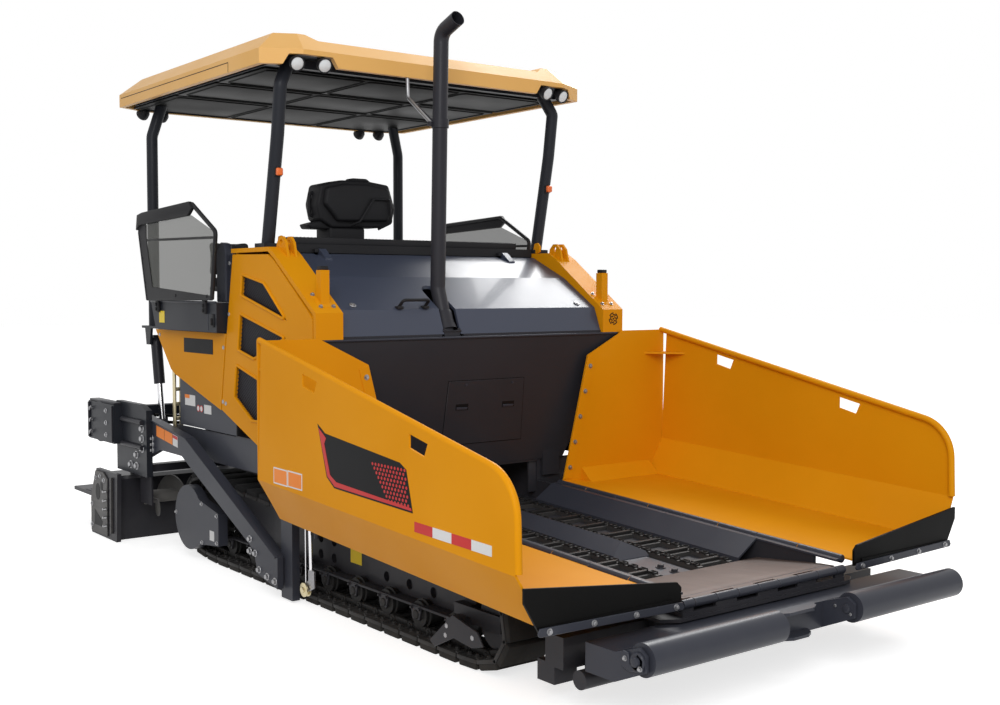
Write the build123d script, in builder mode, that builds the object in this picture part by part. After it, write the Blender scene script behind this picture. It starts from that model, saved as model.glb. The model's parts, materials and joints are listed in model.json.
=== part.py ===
from build123d import *

import os
from math import cos, degrees, atan2, hypot, radians, sin, tan

# A tracked asphalt paver. Millimetres. +X is forwards (the hopper end), +Y is the machine's left,
# +Z is up. The origin is on the ground, in the middle of the machine's length and width.

SEAT = 0.3                      # gap left between pieces that rest on each other
MOVING_GAP = 10.0               # gap between a moving piece and what it passes

# ---- Tracks: one closed loop each side, with its shoes in the outline
TRACK_OUTER_Y = 1250.0
SHOE_WIDTH = 320.0
SHOE_PITCH = 190.0
SHOE_GAP = 16.0
PAD_HEIGHT = 45.0
LOOP_THICKNESS = 90.0
SPROCKET_X = -1340.0
SPROCKET_Z = 345.0
SPROCKET_LOOP_R = 325.0         # outside of the shoes as they go round the sprocket
IDLER_X = 2200.0
IDLER_Z = 262.0
IDLER_LOOP_R = 250.0
CONTACT_REAR_X = -1140.0
CONTACT_FRONT_X = 2080.0
TRACK_FRAME_Y = (960.0, 1100.0)
TRACK_FRAME_X = (-1040.0, 1960.0)
TRACK_FRAME_Z = (200.0, 540.0)
TRACK_FRAME_FALL = 135.0        # the top of the frame falls with the upper run
TRACK_HOLE_R = 32.0
ROLLER_R = 75.0
ROLLER_COUNT = 9

# ---- Chassis: two side plates with the conveyor tunnel between them
FRAME_HALF_Y = 660.0
FRAME_WALL = 30.0
FRAME_FRONT_X = 2900.0
FRAME_REAR_X = -1940.0
FRAME_BOTTOM_Z = 250.0
FRAME_TOP_Z = 1000.0
ENGINE_FLOOR = 12.0
AXLE_X = (-700.0, 400.0, 1500.0)
CROSS_BEAM_X = (FRAME_FRONT_X - 176.0, FRAME_FRONT_X - 40.0)
CROSS_BEAM_Z = (190.0, 351.0)
CROSS_BEAM_HALF_Y = 1250.0
DEFLECTOR = (FRAME_FRONT_X + 61.0, 165.0)   # x, z
DEFLECTOR_R = 48.0

# ---- Hopper: its floor, hinges and conveyor all slope down to the front
HOPPER_REAR_X = 612.0
HINGE_FRONT_X = FRAME_FRONT_X + 160.0
HINGE_REAR_Z = 644.0
HINGE_DROP = 124.0
HINGE_Y = 690.0
HINGE_R = 22.0
HINGE_PIN_R = 12.0
HINGE_KNUCKLES = 8
KNUCKLE_GAP = 3.0
LEAF_HALF = 6.0                 # half the thickness of the floor plates
DECK_DEPTH = 146.0              # conveyor deck below the hinge line
DECK_THICK = 12.0
TUNNEL_HEIGHT = 285.0
TUNNEL_FRONT_X = 430.0
BULKHEAD_TOP_Z = 1735.0

# ---- Hopper wings
WING_OUTER_Y = 1750.0
WING_PLATE = 12.0
WING_FLOOR_Y = 1600.0
WING_BEND_H = 253.0
WING_TOP_REAR_Z = 1746.0
WING_TOP_SLOPE = 0.2222
WING_NOSE_X = HINGE_FRONT_X + 20.0
WING_FRONT_X = HINGE_FRONT_X + 52.0
WING_TIP = (WING_NOSE_X + 15.0, 780.0)      # x, z where the nose curve ends
WING_EDGE_R = 20.0
FLAP_THICK = 14.0

# ---- Upper works
HOOD_HALF_Y = 1120.0
HOOD_THICK = 20.0
COWL_WIDTH = 200.0
COWL_HALF_Y = HOOD_HALF_Y + MOVING_GAP + COWL_WIDTH
BULKHEAD_HALF_Y = COWL_HALF_Y - 42.0
COWL_FRONT_X = 600.0
COWL_TOP_Z = 2340.0
PANEL_THICK = 30.0
MESH_THICK = 6.0                # what closes the back of each grille
DOOR_FRONT_X = 558.0
DOOR_PIVOT = (DOOR_FRONT_X - 15.0, COWL_HALF_Y - 15.0)   # x, y
DOOR_PIN_R = 6.0
DOOR_SEAT_Y = COWL_HALF_Y - PANEL_THICK - SEAT   # what the closed doors rest against
HOOD_PIVOT = (-200.0, 2325.0)   # x, z
HOOD_FRONT_Z = 1752.0
HOOD_PIN_R = 8.0
HOOD_KNUCKLE_R = 16.0
HOOD_HINGE_Y = (-820.0, 820.0)
EYE_HOLE = (0.0, 2372.0)        # x, z of the lifting eyes
EYE_HOLE_R = 18.0
LIFT_POST = (493.0, 1216.0)      # x, y
TANK_HALF_Y = DOOR_SEAT_Y - MOVING_GAP + SEAT
WALL_X = -600.0
PLATFORM_Z = 1740.0
PLATFORM_HALF_Y = COWL_HALF_Y + 70.0
PLATFORM_REAR_X = -2330.0
PLATFORM_THICK = 20.0
SIDE_BOX_TOP_Z = 1960.0

# ---- Canopy
CANOPY_HALF_Y = 1400.0
CANOPY_FRONT_X = 130.0
CANOPY_REAR_X = -2590.0
CANOPY_BOTTOM_Z = 3540.0
CANOPY_EDGE_Z = CANOPY_BOTTOM_Z + 100.0
CANOPY_TOP_Z = CANOPY_EDGE_Z + 130.0
CANOPY_WALL = 40.0
POD_Y = 1060.0
POD_HEIGHT = 42.0
LAMP_RECESS = 68.0
POST_Y = 1204.0
POST_SIZE = 90.0

# ---- Exhaust
EXHAUST_Y = -250.0
EXHAUST_R = 52.0

# ---- Screed, its tow arms and the augers in front of it
TOW_PIN = (120.0, 190.0)        # x, z
TOW_PIN_R = 30.0
ARM_Y = (1355.0, 1400.0)
SCREED_HALF_Y = 1520.0
SCREED_END_Y = 1556.0
SCREED_FRONT_X = -2340.0
SCREED_REAR_X = -2830.0
WALKWAY_REAR_X = -3475.0
AUGER_X = -2130.0
AUGER_Z = 370.0
AUGER_R = 165.0
AUGER_PITCH = 250.0
LIFT_TOP = (-2250.0, 1640.0)
LIFT_EYE = (-2130.0, 920.0)
LIFT_BEAM_X = (-2500.0, -2410.0)   # the screed's cross beam
LIFT_BEAM_Z = (1000.0, 1090.0)
LIFT_Y = 1200.0
LIFT_BARREL_R = 45.0
LIFT_ROD_R = 25.0
LIFT_BARREL_LENGTH = 360.0

# ---- Push rollers
BEAM_X = (FRAME_FRONT_X + 140.0, FRAME_FRONT_X + 340.0)
BEAM_Z = (237.0, 380.0)
BEAM_HALF_Y = 1270.0
PUSH_AXLE_X = BEAM_X[1] + 155.0
PUSH_AXLE_Z = 372.0
PUSH_AXLE_R = 25.0
PUSH_ROLLER_R = 80.0
PUSH_ROLLER_Y = (300.0, 1240.0)
BEAM_PIVOT_X = BEAM_X[0] - 55.0
BEAM_PIVOT_R = 30.0
APRON_HINGE = (FRAME_FRONT_X + 184.0, 471.0)   # x, z
FRONT_PLATE_Z = (390.0, 408.0)
FRONT_PLATE_HALF_Y = 780.0
APRON_HALF_Y = 618.0
APRON_REAR_X = 2500.0

slope = atan2(HINGE_DROP, HINGE_FRONT_X - HOPPER_REAR_X)
hopper_plane = Plane(
    origin=(HOPPER_REAR_X, 0, HINGE_REAR_Z),
    x_dir=(0, 1, 0),
    z_dir=(cos(slope), 0, -sin(slope)),
)


def hinge_z(x):
    """Height of the wings' hinge line at x."""
    return HINGE_REAR_Z - (x - HOPPER_REAR_X) * tan(slope)


def side_plane(y):
    """Upright plane along the machine: sketch x is forwards, sketch y is up, normal towards -Y."""
    return Plane.XZ.offset(-y)


def cross_plane(x):
    """Upright plane across the machine: sketch x is to the left, sketch y is up, normal forwards."""
    return Plane.YZ.offset(x)


def hopper_section(x):
    """Plane square to the hopper's slope: sketch x is to the left, sketch y is up from the hinge line."""
    return hopper_plane.offset((x - HOPPER_REAR_X) / cos(slope))


def plate(plane, points, thickness, mode=Mode.ADD):
    """Adds a flat plate with the given outline."""
    with BuildSketch(plane) as outline:
        Polygon(*points, align=None)
    extrude(outline.sketch, amount=thickness, mode=mode)


def block(x, y, z, mode=Mode.ADD):
    """Adds a box between three pairs of limits."""
    with Locations(((x[0] + x[1]) / 2, (y[0] + y[1]) / 2, (z[0] + z[1]) / 2)):
        Box(abs(x[1] - x[0]), abs(y[1] - y[0]), abs(z[1] - z[0]), mode=mode)


def bar(start, end, radius, mode=Mode.ADD):
    """Adds a round bar from one point to another."""
    run = Vector(*end) - Vector(*start)
    with BuildSketch(Plane(origin=start, z_dir=run)) as section:
        Circle(radius)
    extrude(section.sketch, amount=run.length, mode=mode)


def pipe(points, radius, bend, mode=Mode.ADD):
    """Adds a round pipe along straight runs joined by bends."""
    with BuildLine() as route:
        FilletPolyline(*points, radius=bend)
    with BuildSketch(Plane(origin=route.line @ 0, z_dir=route.line % 0)) as section:
        Circle(radius)
    sweep(section.sketch, path=route.line, mode=mode)


def keep(name, part):
    """Writes one sub-part."""
    part.label = name
    export_step(part, f"parts/{name}.step")


def keep_pair(name, left):
    """Writes a sub-part of the left side and its mirror image on the right."""
    with BuildPart() as right:
        mirror(left, about=Plane.XZ)
    keep(f"{name}_left", left)
    keep(f"{name}_right", right.part)


def keep_both(name, left):
    """Writes one sub-part that holds the left-hand pieces and their mirror images."""
    with BuildPart() as both:
        add(left)
        mirror(left, about=Plane.XZ)
    keep(name, both.part)


os.makedirs("parts", exist_ok=True)

# ============================================================ tracks


def track_hull(inset):
    """Outline of the track loop, drawn in by inset from the tips of the shoes."""
    with BuildSketch(side_plane(TRACK_OUTER_Y)) as hull:
        with BuildLine():
            CenterArc((SPROCKET_X, SPROCKET_Z), SPROCKET_LOOP_R - inset, 0, 360)
            CenterArc((IDLER_X, IDLER_Z), IDLER_LOOP_R - inset, 0, 360)
            Line((CONTACT_REAR_X, inset), (CONTACT_FRONT_X, inset))
        make_hull()
    return hull.sketch


with BuildPart() as track:
    extrude(track_hull(0), amount=SHOE_WIDTH)
    extrude(track_hull(LOOP_THICKNESS), amount=SHOE_WIDTH, mode=Mode.SUBTRACT)
    outline = track_hull(0).wires()[0]
    shoe_count = round(outline.length / SHOE_PITCH)
    for shoe in range(shoe_count):
        spot = outline.location_at(shoe / shoe_count)
        with BuildSketch(Plane(spot.position, x_dir=outline.tangent_at(shoe / shoe_count), z_dir=(0, -1, 0))):
            Rectangle(SHOE_GAP, 2 * PAD_HEIGHT)
        extrude(amount=SHOE_WIDTH, mode=Mode.SUBTRACT)
keep_pair("track", track.part)

roller_z = LOOP_THICKNESS + ROLLER_R + SEAT
with BuildPart() as track_frame:
    plate(side_plane(TRACK_FRAME_Y[1]),
          [(TRACK_FRAME_X[0], TRACK_FRAME_Z[0]), (TRACK_FRAME_X[0], TRACK_FRAME_Z[1]),
           (TRACK_FRAME_X[1], TRACK_FRAME_Z[1] - TRACK_FRAME_FALL), (TRACK_FRAME_X[1], TRACK_FRAME_Z[0])],
          TRACK_FRAME_Y[1] - TRACK_FRAME_Y[0])
    roller_first_x = CONTACT_REAR_X + 200
    roller_step = (CONTACT_FRONT_X - 230 - roller_first_x) / (ROLLER_COUNT - 1)
    for roller in range(ROLLER_COUNT):
        roller_x = roller_first_x + roller * roller_step
        bar((roller_x, 1170, roller_z), (roller_x, 1000, roller_z), ROLLER_R)
    block((TRACK_FRAME_X[0], TRACK_FRAME_X[1]), (1095, 1130), (190, 206))
    block((TRACK_FRAME_X[1] - 20, IDLER_X + 60), (1140, 1165), (IDLER_Z - 45, IDLER_Z + 45))
    block((TRACK_FRAME_X[1] - 20, IDLER_X + 60), (1005, 1030), (IDLER_Z - 45, IDLER_Z + 45))
    block((TRACK_FRAME_X[1] - 120, TRACK_FRAME_X[1]), (1005, 1165), (IDLER_Z - 45, IDLER_Z + 45))
    bar((IDLER_X, 1165, IDLER_Z), (IDLER_X, 1005, IDLER_Z), 40)
    bar((IDLER_X, 1135, IDLER_Z), (IDLER_X, 1035, IDLER_Z), IDLER_LOOP_R - LOOP_THICKNESS - SEAT)
    with BuildSketch(side_plane(TRACK_FRAME_Y[1])):
        with Locations(*[(x, z) for x in (250, 420, 1050, 1300, 1550) for z in (290, 400)]):
            Circle(TRACK_HOLE_R)
    extrude(amount=30, mode=Mode.SUBTRACT)
keep_both("track_frames", track_frame.part)

with BuildPart() as drive_sprocket:
    bar((SPROCKET_X, 1130, SPROCKET_Z), (SPROCKET_X, 1050, SPROCKET_Z),
        SPROCKET_LOOP_R - LOOP_THICKNESS - SEAT)
    bar((SPROCKET_X, TRACK_OUTER_Y, SPROCKET_Z), (SPROCKET_X, FRAME_HALF_Y + SEAT, SPROCKET_Z), 150)
keep_both("drive_sprockets", drive_sprocket.part)

with BuildPart() as sprocket_cover:
    bar((SPROCKET_X - 20, 1330, 320), (SPROCKET_X - 20, TRACK_OUTER_Y + 6, 320), 245)
    plate(side_plane(1330), [(SPROCKET_X, 566), (-1155, 476), (-840, 420), (-840, 180),
                             (-1155, 146), (SPROCKET_X, 78)], 1330 - TRACK_OUTER_Y - 6)
    bar((SPROCKET_X, TRACK_OUTER_Y + 6, SPROCKET_Z), (SPROCKET_X, TRACK_OUTER_Y + SEAT, SPROCKET_Z), 150)
keep_both("sprocket_covers", sprocket_cover.part)

# ============================================================ chassis

frame_profile = [
    (FRAME_FRONT_X, FRAME_BOTTOM_Z),
    (FRAME_FRONT_X, hinge_z(FRAME_FRONT_X) - LEAF_HALF - SEAT),
    (TUNNEL_FRONT_X, hinge_z(TUNNEL_FRONT_X) - LEAF_HALF - SEAT),
    (TUNNEL_FRONT_X, FRAME_TOP_Z),
    (FRAME_REAR_X, FRAME_TOP_Z),
    (FRAME_REAR_X, 560),
    (-1700, FRAME_BOTTOM_Z),
]
inner_half = FRAME_HALF_Y - FRAME_WALL
with BuildPart() as main_frame:
    for outer_y in (FRAME_HALF_Y, -inner_half):
        plate(side_plane(outer_y), frame_profile, FRAME_WALL)
    for height, front_x in ((-DECK_DEPTH - DECK_THICK / 2, FRAME_FRONT_X),
                            (TUNNEL_HEIGHT - DECK_DEPTH + DECK_THICK / 2, TUNNEL_FRONT_X)):
        with BuildSketch(hopper_section(FRAME_REAR_X + 10)) as deck:
            with Locations((0, height)):
                Rectangle(2 * inner_half, DECK_THICK)
        extrude(deck.sketch, amount=(front_x - FRAME_REAR_X - 10) / cos(slope))
    block((WALL_X - 12, TUNNEL_FRONT_X), (-TANK_HALF_Y, TANK_HALF_Y), (FRAME_TOP_Z, FRAME_TOP_Z + ENGINE_FLOOR))
    for axle_x in AXLE_X:
        for side in (1, -1):
            block((axle_x - 60, axle_x + 60), (side * FRAME_HALF_Y, side * (TRACK_FRAME_Y[0] - SEAT)), (280, 400))
        block((axle_x - 60, axle_x + 60), (-inner_half, inner_half), (280, 340))
    # front cross-member, with the tongue that the push-roller beam turns in
    block((FRAME_FRONT_X - 30, FRAME_FRONT_X), (-inner_half, inner_half), (FRAME_BOTTOM_Z, 385))
    plate(Plane.XY.offset(FRONT_PLATE_Z[0]),
          [(FRAME_FRONT_X - 30, -FRONT_PLATE_HALF_Y), (APRON_HINGE[0] - 30, -FRONT_PLATE_HALF_Y),
           (APRON_HINGE[0] + 26, -FRONT_PLATE_HALF_Y + 90), (APRON_HINGE[0] + 26, FRONT_PLATE_HALF_Y - 90),
           (APRON_HINGE[0] - 30, FRONT_PLATE_HALF_Y), (FRAME_FRONT_X - 30, FRONT_PLATE_HALF_Y)],
          FRONT_PLATE_Z[1] - FRONT_PLATE_Z[0])
    block((FRAME_FRONT_X - 30, APRON_HINGE[0] + 12), (-FRAME_HALF_Y, FRAME_HALF_Y), (FRONT_PLATE_Z[1] - 1, FRONT_PLATE_Z[1] + 22))
    block((FRAME_FRONT_X - 30, BEAM_PIVOT_X + 50), (-150, 150), (BEAM_Z[0] - 27, BEAM_Z[0] - 7))
    bar((BEAM_PIVOT_X, 0, BEAM_Z[0] - 27), (BEAM_PIVOT_X, 0, FRONT_PLATE_Z[1]), BEAM_PIVOT_R)
    # front cross beam, the feet at its ends, and the deflector's tube under the push-roller beam
    block(CROSS_BEAM_X, (-CROSS_BEAM_HALF_Y, CROSS_BEAM_HALF_Y), CROSS_BEAM_Z)
    for side in (1, -1):
        block((CROSS_BEAM_X[0] - 60, CROSS_BEAM_X[0] + 70), (side * (CROSS_BEAM_HALF_Y - 150), side * CROSS_BEAM_HALF_Y),
              (CROSS_BEAM_Z[0] - 90, CROSS_BEAM_Z[0] + 15))
        block((CROSS_BEAM_X[1] - 20, DEFLECTOR[0]), (side * 1050, side * 1090), (DEFLECTOR[1] - 15, CROSS_BEAM_Z[0] + 45))
    bar((DEFLECTOR[0], -CROSS_BEAM_HALF_Y + 15, DEFLECTOR[1]), (DEFLECTOR[0], CROSS_BEAM_HALF_Y - 15, DEFLECTOR[1]), DEFLECTOR_R)
    # fixed knuckles and pin of the apron's hinge
    bar((APRON_HINGE[0], -FRAME_HALF_Y, APRON_HINGE[1]), (APRON_HINGE[0], FRAME_HALF_Y, APRON_HINGE[1]), HINGE_PIN_R)
    knuckle = 2 * FRAME_HALF_Y / HINGE_KNUCKLES
    for index in range(0, HINGE_KNUCKLES + 1, 2):
        low = max(-FRAME_HALF_Y, -FRAME_HALF_Y + (index - 0.5) * knuckle + KNUCKLE_GAP / 2)
        high = min(FRAME_HALF_Y, -FRAME_HALF_Y + (index + 0.5) * knuckle - KNUCKLE_GAP / 2)
        bar((APRON_HINGE[0], low, APRON_HINGE[1]), (APRON_HINGE[0], high, APRON_HINGE[1]), HINGE_R)
        block((APRON_HINGE[0] - 8, APRON_HINGE[0] + 8), (low, high), (FRONT_PLATE_Z[1], APRON_HINGE[1]))
keep("main_frame", main_frame.part)

# ============================================================ hopper floor, conveyor and bulkhead

hinge_run = (HINGE_FRONT_X - HOPPER_REAR_X) / cos(slope)
knuckle_run = hinge_run / HINGE_KNUCKLES

with BuildPart() as floor_side:
    with BuildSketch(hopper_section(HOPPER_REAR_X)) as pin:
        with Locations((HINGE_Y, 0)):
            Circle(HINGE_PIN_R)
    extrude(pin.sketch, amount=hinge_run)
    for index in range(0, HINGE_KNUCKLES, 2):
        with BuildSketch(hopper_plane.offset(index * knuckle_run)) as knuckle_section:
            with Locations((HINGE_Y, 0)):
                Circle(HINGE_R)
            with Locations((HINGE_Y - 20, 0)):
                Rectangle(40, 2 * LEAF_HALF)
        extrude(knuckle_section.sketch, amount=knuckle_run - KNUCKLE_GAP)
    plate(hopper_plane.offset(0),
          [(HINGE_Y - 30, -LEAF_HALF), (HINGE_Y - 30, LEAF_HALF), (624, LEAF_HALF), (624, -LEAF_HALF)], hinge_run)
    # sloping cover over the conveyor's edge, as far as the apron
    plate(hopper_plane.offset(0),
          [(640, -LEAF_HALF), (640, LEAF_HALF), (624, LEAF_HALF), (470, -96), (470, -DECK_DEPTH + SEAT),
           (480, -DECK_DEPTH + SEAT), (480, -104), (628, -LEAF_HALF)],
          (APRON_REAR_X - MOVING_GAP - HOPPER_REAR_X) / cos(slope))
with BuildPart() as centre_cover:
    with BuildSketch(hopper_section(-1900)) as cover_section:
        Polygon((-135, -DECK_DEPTH + SEAT), (135, -DECK_DEPTH + SEAT), (135, -108), (0, -48), (-135, -108), align=None)
    extrude(cover_section.sketch, amount=(2080 + 1900) / cos(slope))
    plate(side_plane(200), [(1955, hinge_z(1955) - 36), (2100, hinge_z(2100) - 152), (2100, 800), (1955, 800)],
          400, mode=Mode.SUBTRACT)
    plate(hopper_section(2070), [(-110, -DECK_DEPTH + SEAT), (110, -DECK_DEPTH + SEAT), (110, -134), (-110, -134)], 405)
with BuildPart() as hopper_floor:
    add(floor_side.part)
    mirror(floor_side.part, about=Plane.XZ)
    add(centre_cover.part)
keep("hopper_floor", hopper_floor.part)

with BuildPart() as conveyor:
    for side in (1, -1):
        for chain_y in (175, 430):
            plate(hopper_section(-1920),
                  [(side * (chain_y - 18), -DECK_DEPTH + SEAT), (side * (chain_y + 18), -DECK_DEPTH + SEAT),
                   (side * (chain_y + 18), -DECK_DEPTH + 30), (side * (chain_y - 18), -DECK_DEPTH + 30)], 4390)
        for slat in range(18):
            slat_x = -1880 + slat * 250
            plate(hopper_section(slat_x),
                  [(side * 175, -DECK_DEPTH + SEAT), (side * 430, -DECK_DEPTH + SEAT), (side * 430, -DECK_DEPTH + 24),
                   (side * 175, -DECK_DEPTH + 24)], 45)
keep("conveyor", conveyor.part)

bulkhead_bottom_z = hinge_z(430) + TUNNEL_HEIGHT - DECK_DEPTH + DECK_THICK + 2
with BuildPart() as bulkhead:
    plate(side_plane(BULKHEAD_HALF_Y),
          [(HOPPER_REAR_X - 16, BULKHEAD_TOP_Z), (442, bulkhead_bottom_z), (430, bulkhead_bottom_z), (582, BULKHEAD_TOP_Z - 10),
           (500, BULKHEAD_TOP_Z - 10), (500, BULKHEAD_TOP_Z)], 2 * BULKHEAD_HALF_Y)
    for side in (1, -1):
        plate(cross_plane(300),
              [(side * 820, 700), (side * 1280, 1660), (side * 1400, 1660), (side * 1400, 700)], 400, mode=Mode.SUBTRACT)
    for leg in (1, -1):
        block((431, 452), (leg * 672, leg * 830), (hinge_z(431) + 30, 880))
    # ledge under the hood's front edge, on both sides of the exhaust
    for ledge_y in ((-HOOD_HALF_Y, EXHAUST_Y - 90), (EXHAUST_Y + 90, HOOD_HALF_Y)):
        block((556, 584), ledge_y, (BULKHEAD_TOP_Z - 4, HOOD_FRONT_Z - SEAT))
keep("bulkhead", bulkhead.part)

# ============================================================ hopper wings


def wing_edge_z(x):
    """Height of the wing's top edge at x."""
    return WING_TOP_REAR_Z - (x - HOPPER_REAR_X) * WING_TOP_SLOPE


wing_edge_points = [
    (HOPPER_REAR_X, wing_edge_z(HOPPER_REAR_X)),
    (WING_NOSE_X, wing_edge_z(WING_NOSE_X) + 10),
    WING_TIP,
    (WING_FRONT_X, WING_TIP[1] - 220),
]
with BuildPart() as wing:
    plate(hopper_plane,
          [(HINGE_Y + 30, -LEAF_HALF), (WING_FLOOR_Y, -LEAF_HALF), (WING_OUTER_Y, WING_BEND_H), (WING_OUTER_Y, 1400),
           (WING_OUTER_Y - WING_PLATE, 1400), (WING_OUTER_Y - WING_PLATE, WING_BEND_H + 4),
           (WING_FLOOR_Y - 6, LEAF_HALF), (HINGE_Y + 30, LEAF_HALF)], hinge_run + 249)
    with BuildSketch(side_plane(WING_OUTER_Y + 150)) as side_shape:
        with BuildLine():
            FilletPolyline(*wing_edge_points[:3], radius=240)
            Polyline(WING_TIP, wing_edge_points[3], (WING_FRONT_X, 300), (HOPPER_REAR_X, 300),
                     (HOPPER_REAR_X, wing_edge_z(HOPPER_REAR_X)))
        make_face()
    extrude(side_shape.sketch, amount=WING_OUTER_Y, mode=Mode.INTERSECT)
    plate(cross_plane(HOPPER_REAR_X),
          [(HINGE_Y + 30, HINGE_REAR_Z), (957, 1570), (1320, 1745), (WING_OUTER_Y, 1745),
           (WING_OUTER_Y, HINGE_REAR_Z + WING_BEND_H), (WING_FLOOR_Y, HINGE_REAR_Z)], 12)
    # slots under the rolled edge
    for slot_x in (1256, 2336):
        top = wing_edge_z(slot_x) - 45
        plate(side_plane(1800), [(slot_x - 82, top + 18), (slot_x + 82, top - 18), (slot_x + 52, top - 86),
                                 (slot_x - 82, top - 54)], 100, mode=Mode.SUBTRACT)
    # fillet plate along the foot of the rear wall, and the corner gusset
    plate(side_plane(WING_FLOOR_Y), [(HOPPER_REAR_X + 8, HINGE_REAR_Z + 100), (HOPPER_REAR_X + 120, HINGE_REAR_Z),
                                     (HOPPER_REAR_X + 8, HINGE_REAR_Z)], WING_FLOOR_Y - 900)
    plate(Plane.XY.offset(1562), [(HOPPER_REAR_X + 6, WING_OUTER_Y - 6), (HOPPER_REAR_X + 260, WING_OUTER_Y - 6),
                                  (HOPPER_REAR_X + 6, WING_OUTER_Y - 210)], 14)
    for index in range(1, HINGE_KNUCKLES, 2):
        with BuildSketch(hopper_plane.offset(index * knuckle_run)) as knuckle_section:
            with Locations((HINGE_Y, 0)):
                Circle(HINGE_R)
            with Locations((HINGE_Y + 20, 0)):
                Rectangle(40, 2 * LEAF_HALF)
        extrude(knuckle_section.sketch, amount=knuckle_run - KNUCKLE_GAP)
        with BuildSketch(hopper_plane.offset(index * knuckle_run)) as bore_section:
            with Locations((HINGE_Y, 0)):
                Circle(HINGE_PIN_R + SEAT)
        extrude(bore_section.sketch, amount=knuckle_run - KNUCKLE_GAP, mode=Mode.SUBTRACT)
    with BuildLine() as edge_route:
        FilletPolyline(*[(x, WING_OUTER_Y - WING_EDGE_R, z) for x, z in wing_edge_points[:3]], radius=240)
    with BuildSketch(Plane(origin=edge_route.line @ 0, z_dir=edge_route.line % 0)) as edge_section:
        Circle(WING_EDGE_R)
    sweep(edge_section.sketch, path=edge_route.line)
    block((HOPPER_REAR_X - 40, HOPPER_REAR_X), (600, 1900), (600, 2000), mode=Mode.SUBTRACT)
keep_pair("wing", wing.part)

with BuildPart() as flap:
    plate(cross_plane(WING_FRONT_X + SEAT),
          [(706, hinge_z(WING_FRONT_X) - 28), (706, hinge_z(WING_FRONT_X) + 60), (735, hinge_z(WING_FRONT_X) + 88),
           (1720, hinge_z(WING_FRONT_X) + 200), (1720, hinge_z(WING_FRONT_X) + 130),
           (1625, hinge_z(WING_FRONT_X) - 26)], FLAP_THICK)
    block((WING_FRONT_X + FLAP_THICK, WING_FRONT_X + FLAP_THICK + 8), (770, 1590),
          (hinge_z(WING_FRONT_X) - 26, hinge_z(WING_FRONT_X) + 8))
keep_pair("flap", flap.part)

# ============================================================ front apron

with BuildPart() as apron:
    plate(side_plane(APRON_HALF_Y),
          [(APRON_REAR_X, 428), (APRON_REAR_X, 440), (2960, 487), (APRON_HINGE[0], APRON_HINGE[1] + HINGE_R),
           (APRON_HINGE[0] - 24, APRON_HINGE[1] - 2), (2960, 475)], 2 * APRON_HALF_Y)
    for index in range(0, HINGE_KNUCKLES + 1, 2):
        low = -FRAME_HALF_Y + (index - 0.5) * knuckle - KNUCKLE_GAP / 2
        high = -FRAME_HALF_Y + (index + 0.5) * knuckle + KNUCKLE_GAP / 2
        block((APRON_HINGE[0] - HINGE_R - 6, APRON_HINGE[0] + 60), (low, high), (430, 520), mode=Mode.SUBTRACT)
    for index in range(1, HINGE_KNUCKLES, 2):
        low = -FRAME_HALF_Y + (index - 0.5) * knuckle + KNUCKLE_GAP / 2
        high = -FRAME_HALF_Y + (index + 0.5) * knuckle - KNUCKLE_GAP / 2
        bar((APRON_HINGE[0], low, APRON_HINGE[1]), (APRON_HINGE[0], high, APRON_HINGE[1]), HINGE_R)
        bar((APRON_HINGE[0], low - 1, APRON_HINGE[1]), (APRON_HINGE[0], high + 1, APRON_HINGE[1]),
            HINGE_PIN_R + SEAT, mode=Mode.SUBTRACT)
keep("apron", apron.part)

# ============================================================ push rollers

with BuildPart() as push_beam:
    block(BEAM_X, (-BEAM_HALF_Y, BEAM_HALF_Y), BEAM_Z)
    plate(Plane.XY.offset(290), [(BEAM_X[0] + 5, 170), (BEAM_PIVOT_X - 10, 60), (BEAM_PIVOT_X - 50, 35),
                                 (BEAM_PIVOT_X - 50, -35), (BEAM_PIVOT_X - 10, -60), (BEAM_X[0] + 5, -170)], 50)
    # rounded plates over and under the middle of the beam
    for nose_z, nose_y in ((BEAM_Z[1] - 8, 190), (BEAM_Z[0], 150)):
        plate(Plane.XY.offset(nose_z), [(BEAM_X[1] - 5, -nose_y), (BEAM_X[1] + 50, -nose_y + 40), (BEAM_X[1] + 75, -nose_y + 90),
                                        (BEAM_X[1] + 75, nose_y - 90), (BEAM_X[1] + 50, nose_y - 40), (BEAM_X[1] - 5, nose_y)], 16)
    bar((BEAM_PIVOT_X, 0, 289), (BEAM_PIVOT_X, 0, 341), BEAM_PIVOT_R + SEAT, mode=Mode.SUBTRACT)
    for outer_y in (BEAM_HALF_Y, PUSH_ROLLER_Y[0] - 10, -PUSH_ROLLER_Y[0] + 30, -BEAM_HALF_Y + 20):
        plate(side_plane(outer_y),
              [(BEAM_X[0] + 40, BEAM_Z[0]), (BEAM_X[1], BEAM_Z[0]), (PUSH_AXLE_X + 45, PUSH_AXLE_Z - 45),
               (PUSH_AXLE_X + 45, PUSH_AXLE_Z + 30), (PUSH_AXLE_X, PUSH_AXLE_Z + 60), (BEAM_X[1], BEAM_Z[1])], 20)
    for side in (1, -1):
        bar((PUSH_AXLE_X, side * (PUSH_ROLLER_Y[0] - 20), PUSH_AXLE_Z),
            (PUSH_AXLE_X, side * (BEAM_HALF_Y - 5), PUSH_AXLE_Z), PUSH_AXLE_R)
keep("push_beam", push_beam.part)

with BuildPart() as push_roller:
    bar((PUSH_AXLE_X, PUSH_ROLLER_Y[1], PUSH_AXLE_Z), (PUSH_AXLE_X, PUSH_ROLLER_Y[0], PUSH_AXLE_Z), PUSH_ROLLER_R)
    bar((PUSH_AXLE_X, PUSH_ROLLER_Y[1] + 1, PUSH_AXLE_Z), (PUSH_AXLE_X, PUSH_ROLLER_Y[0] - 1, PUSH_AXLE_Z),
        PUSH_AXLE_R + SEAT, mode=Mode.SUBTRACT)
keep_pair("push_roller", push_roller.part)

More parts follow.
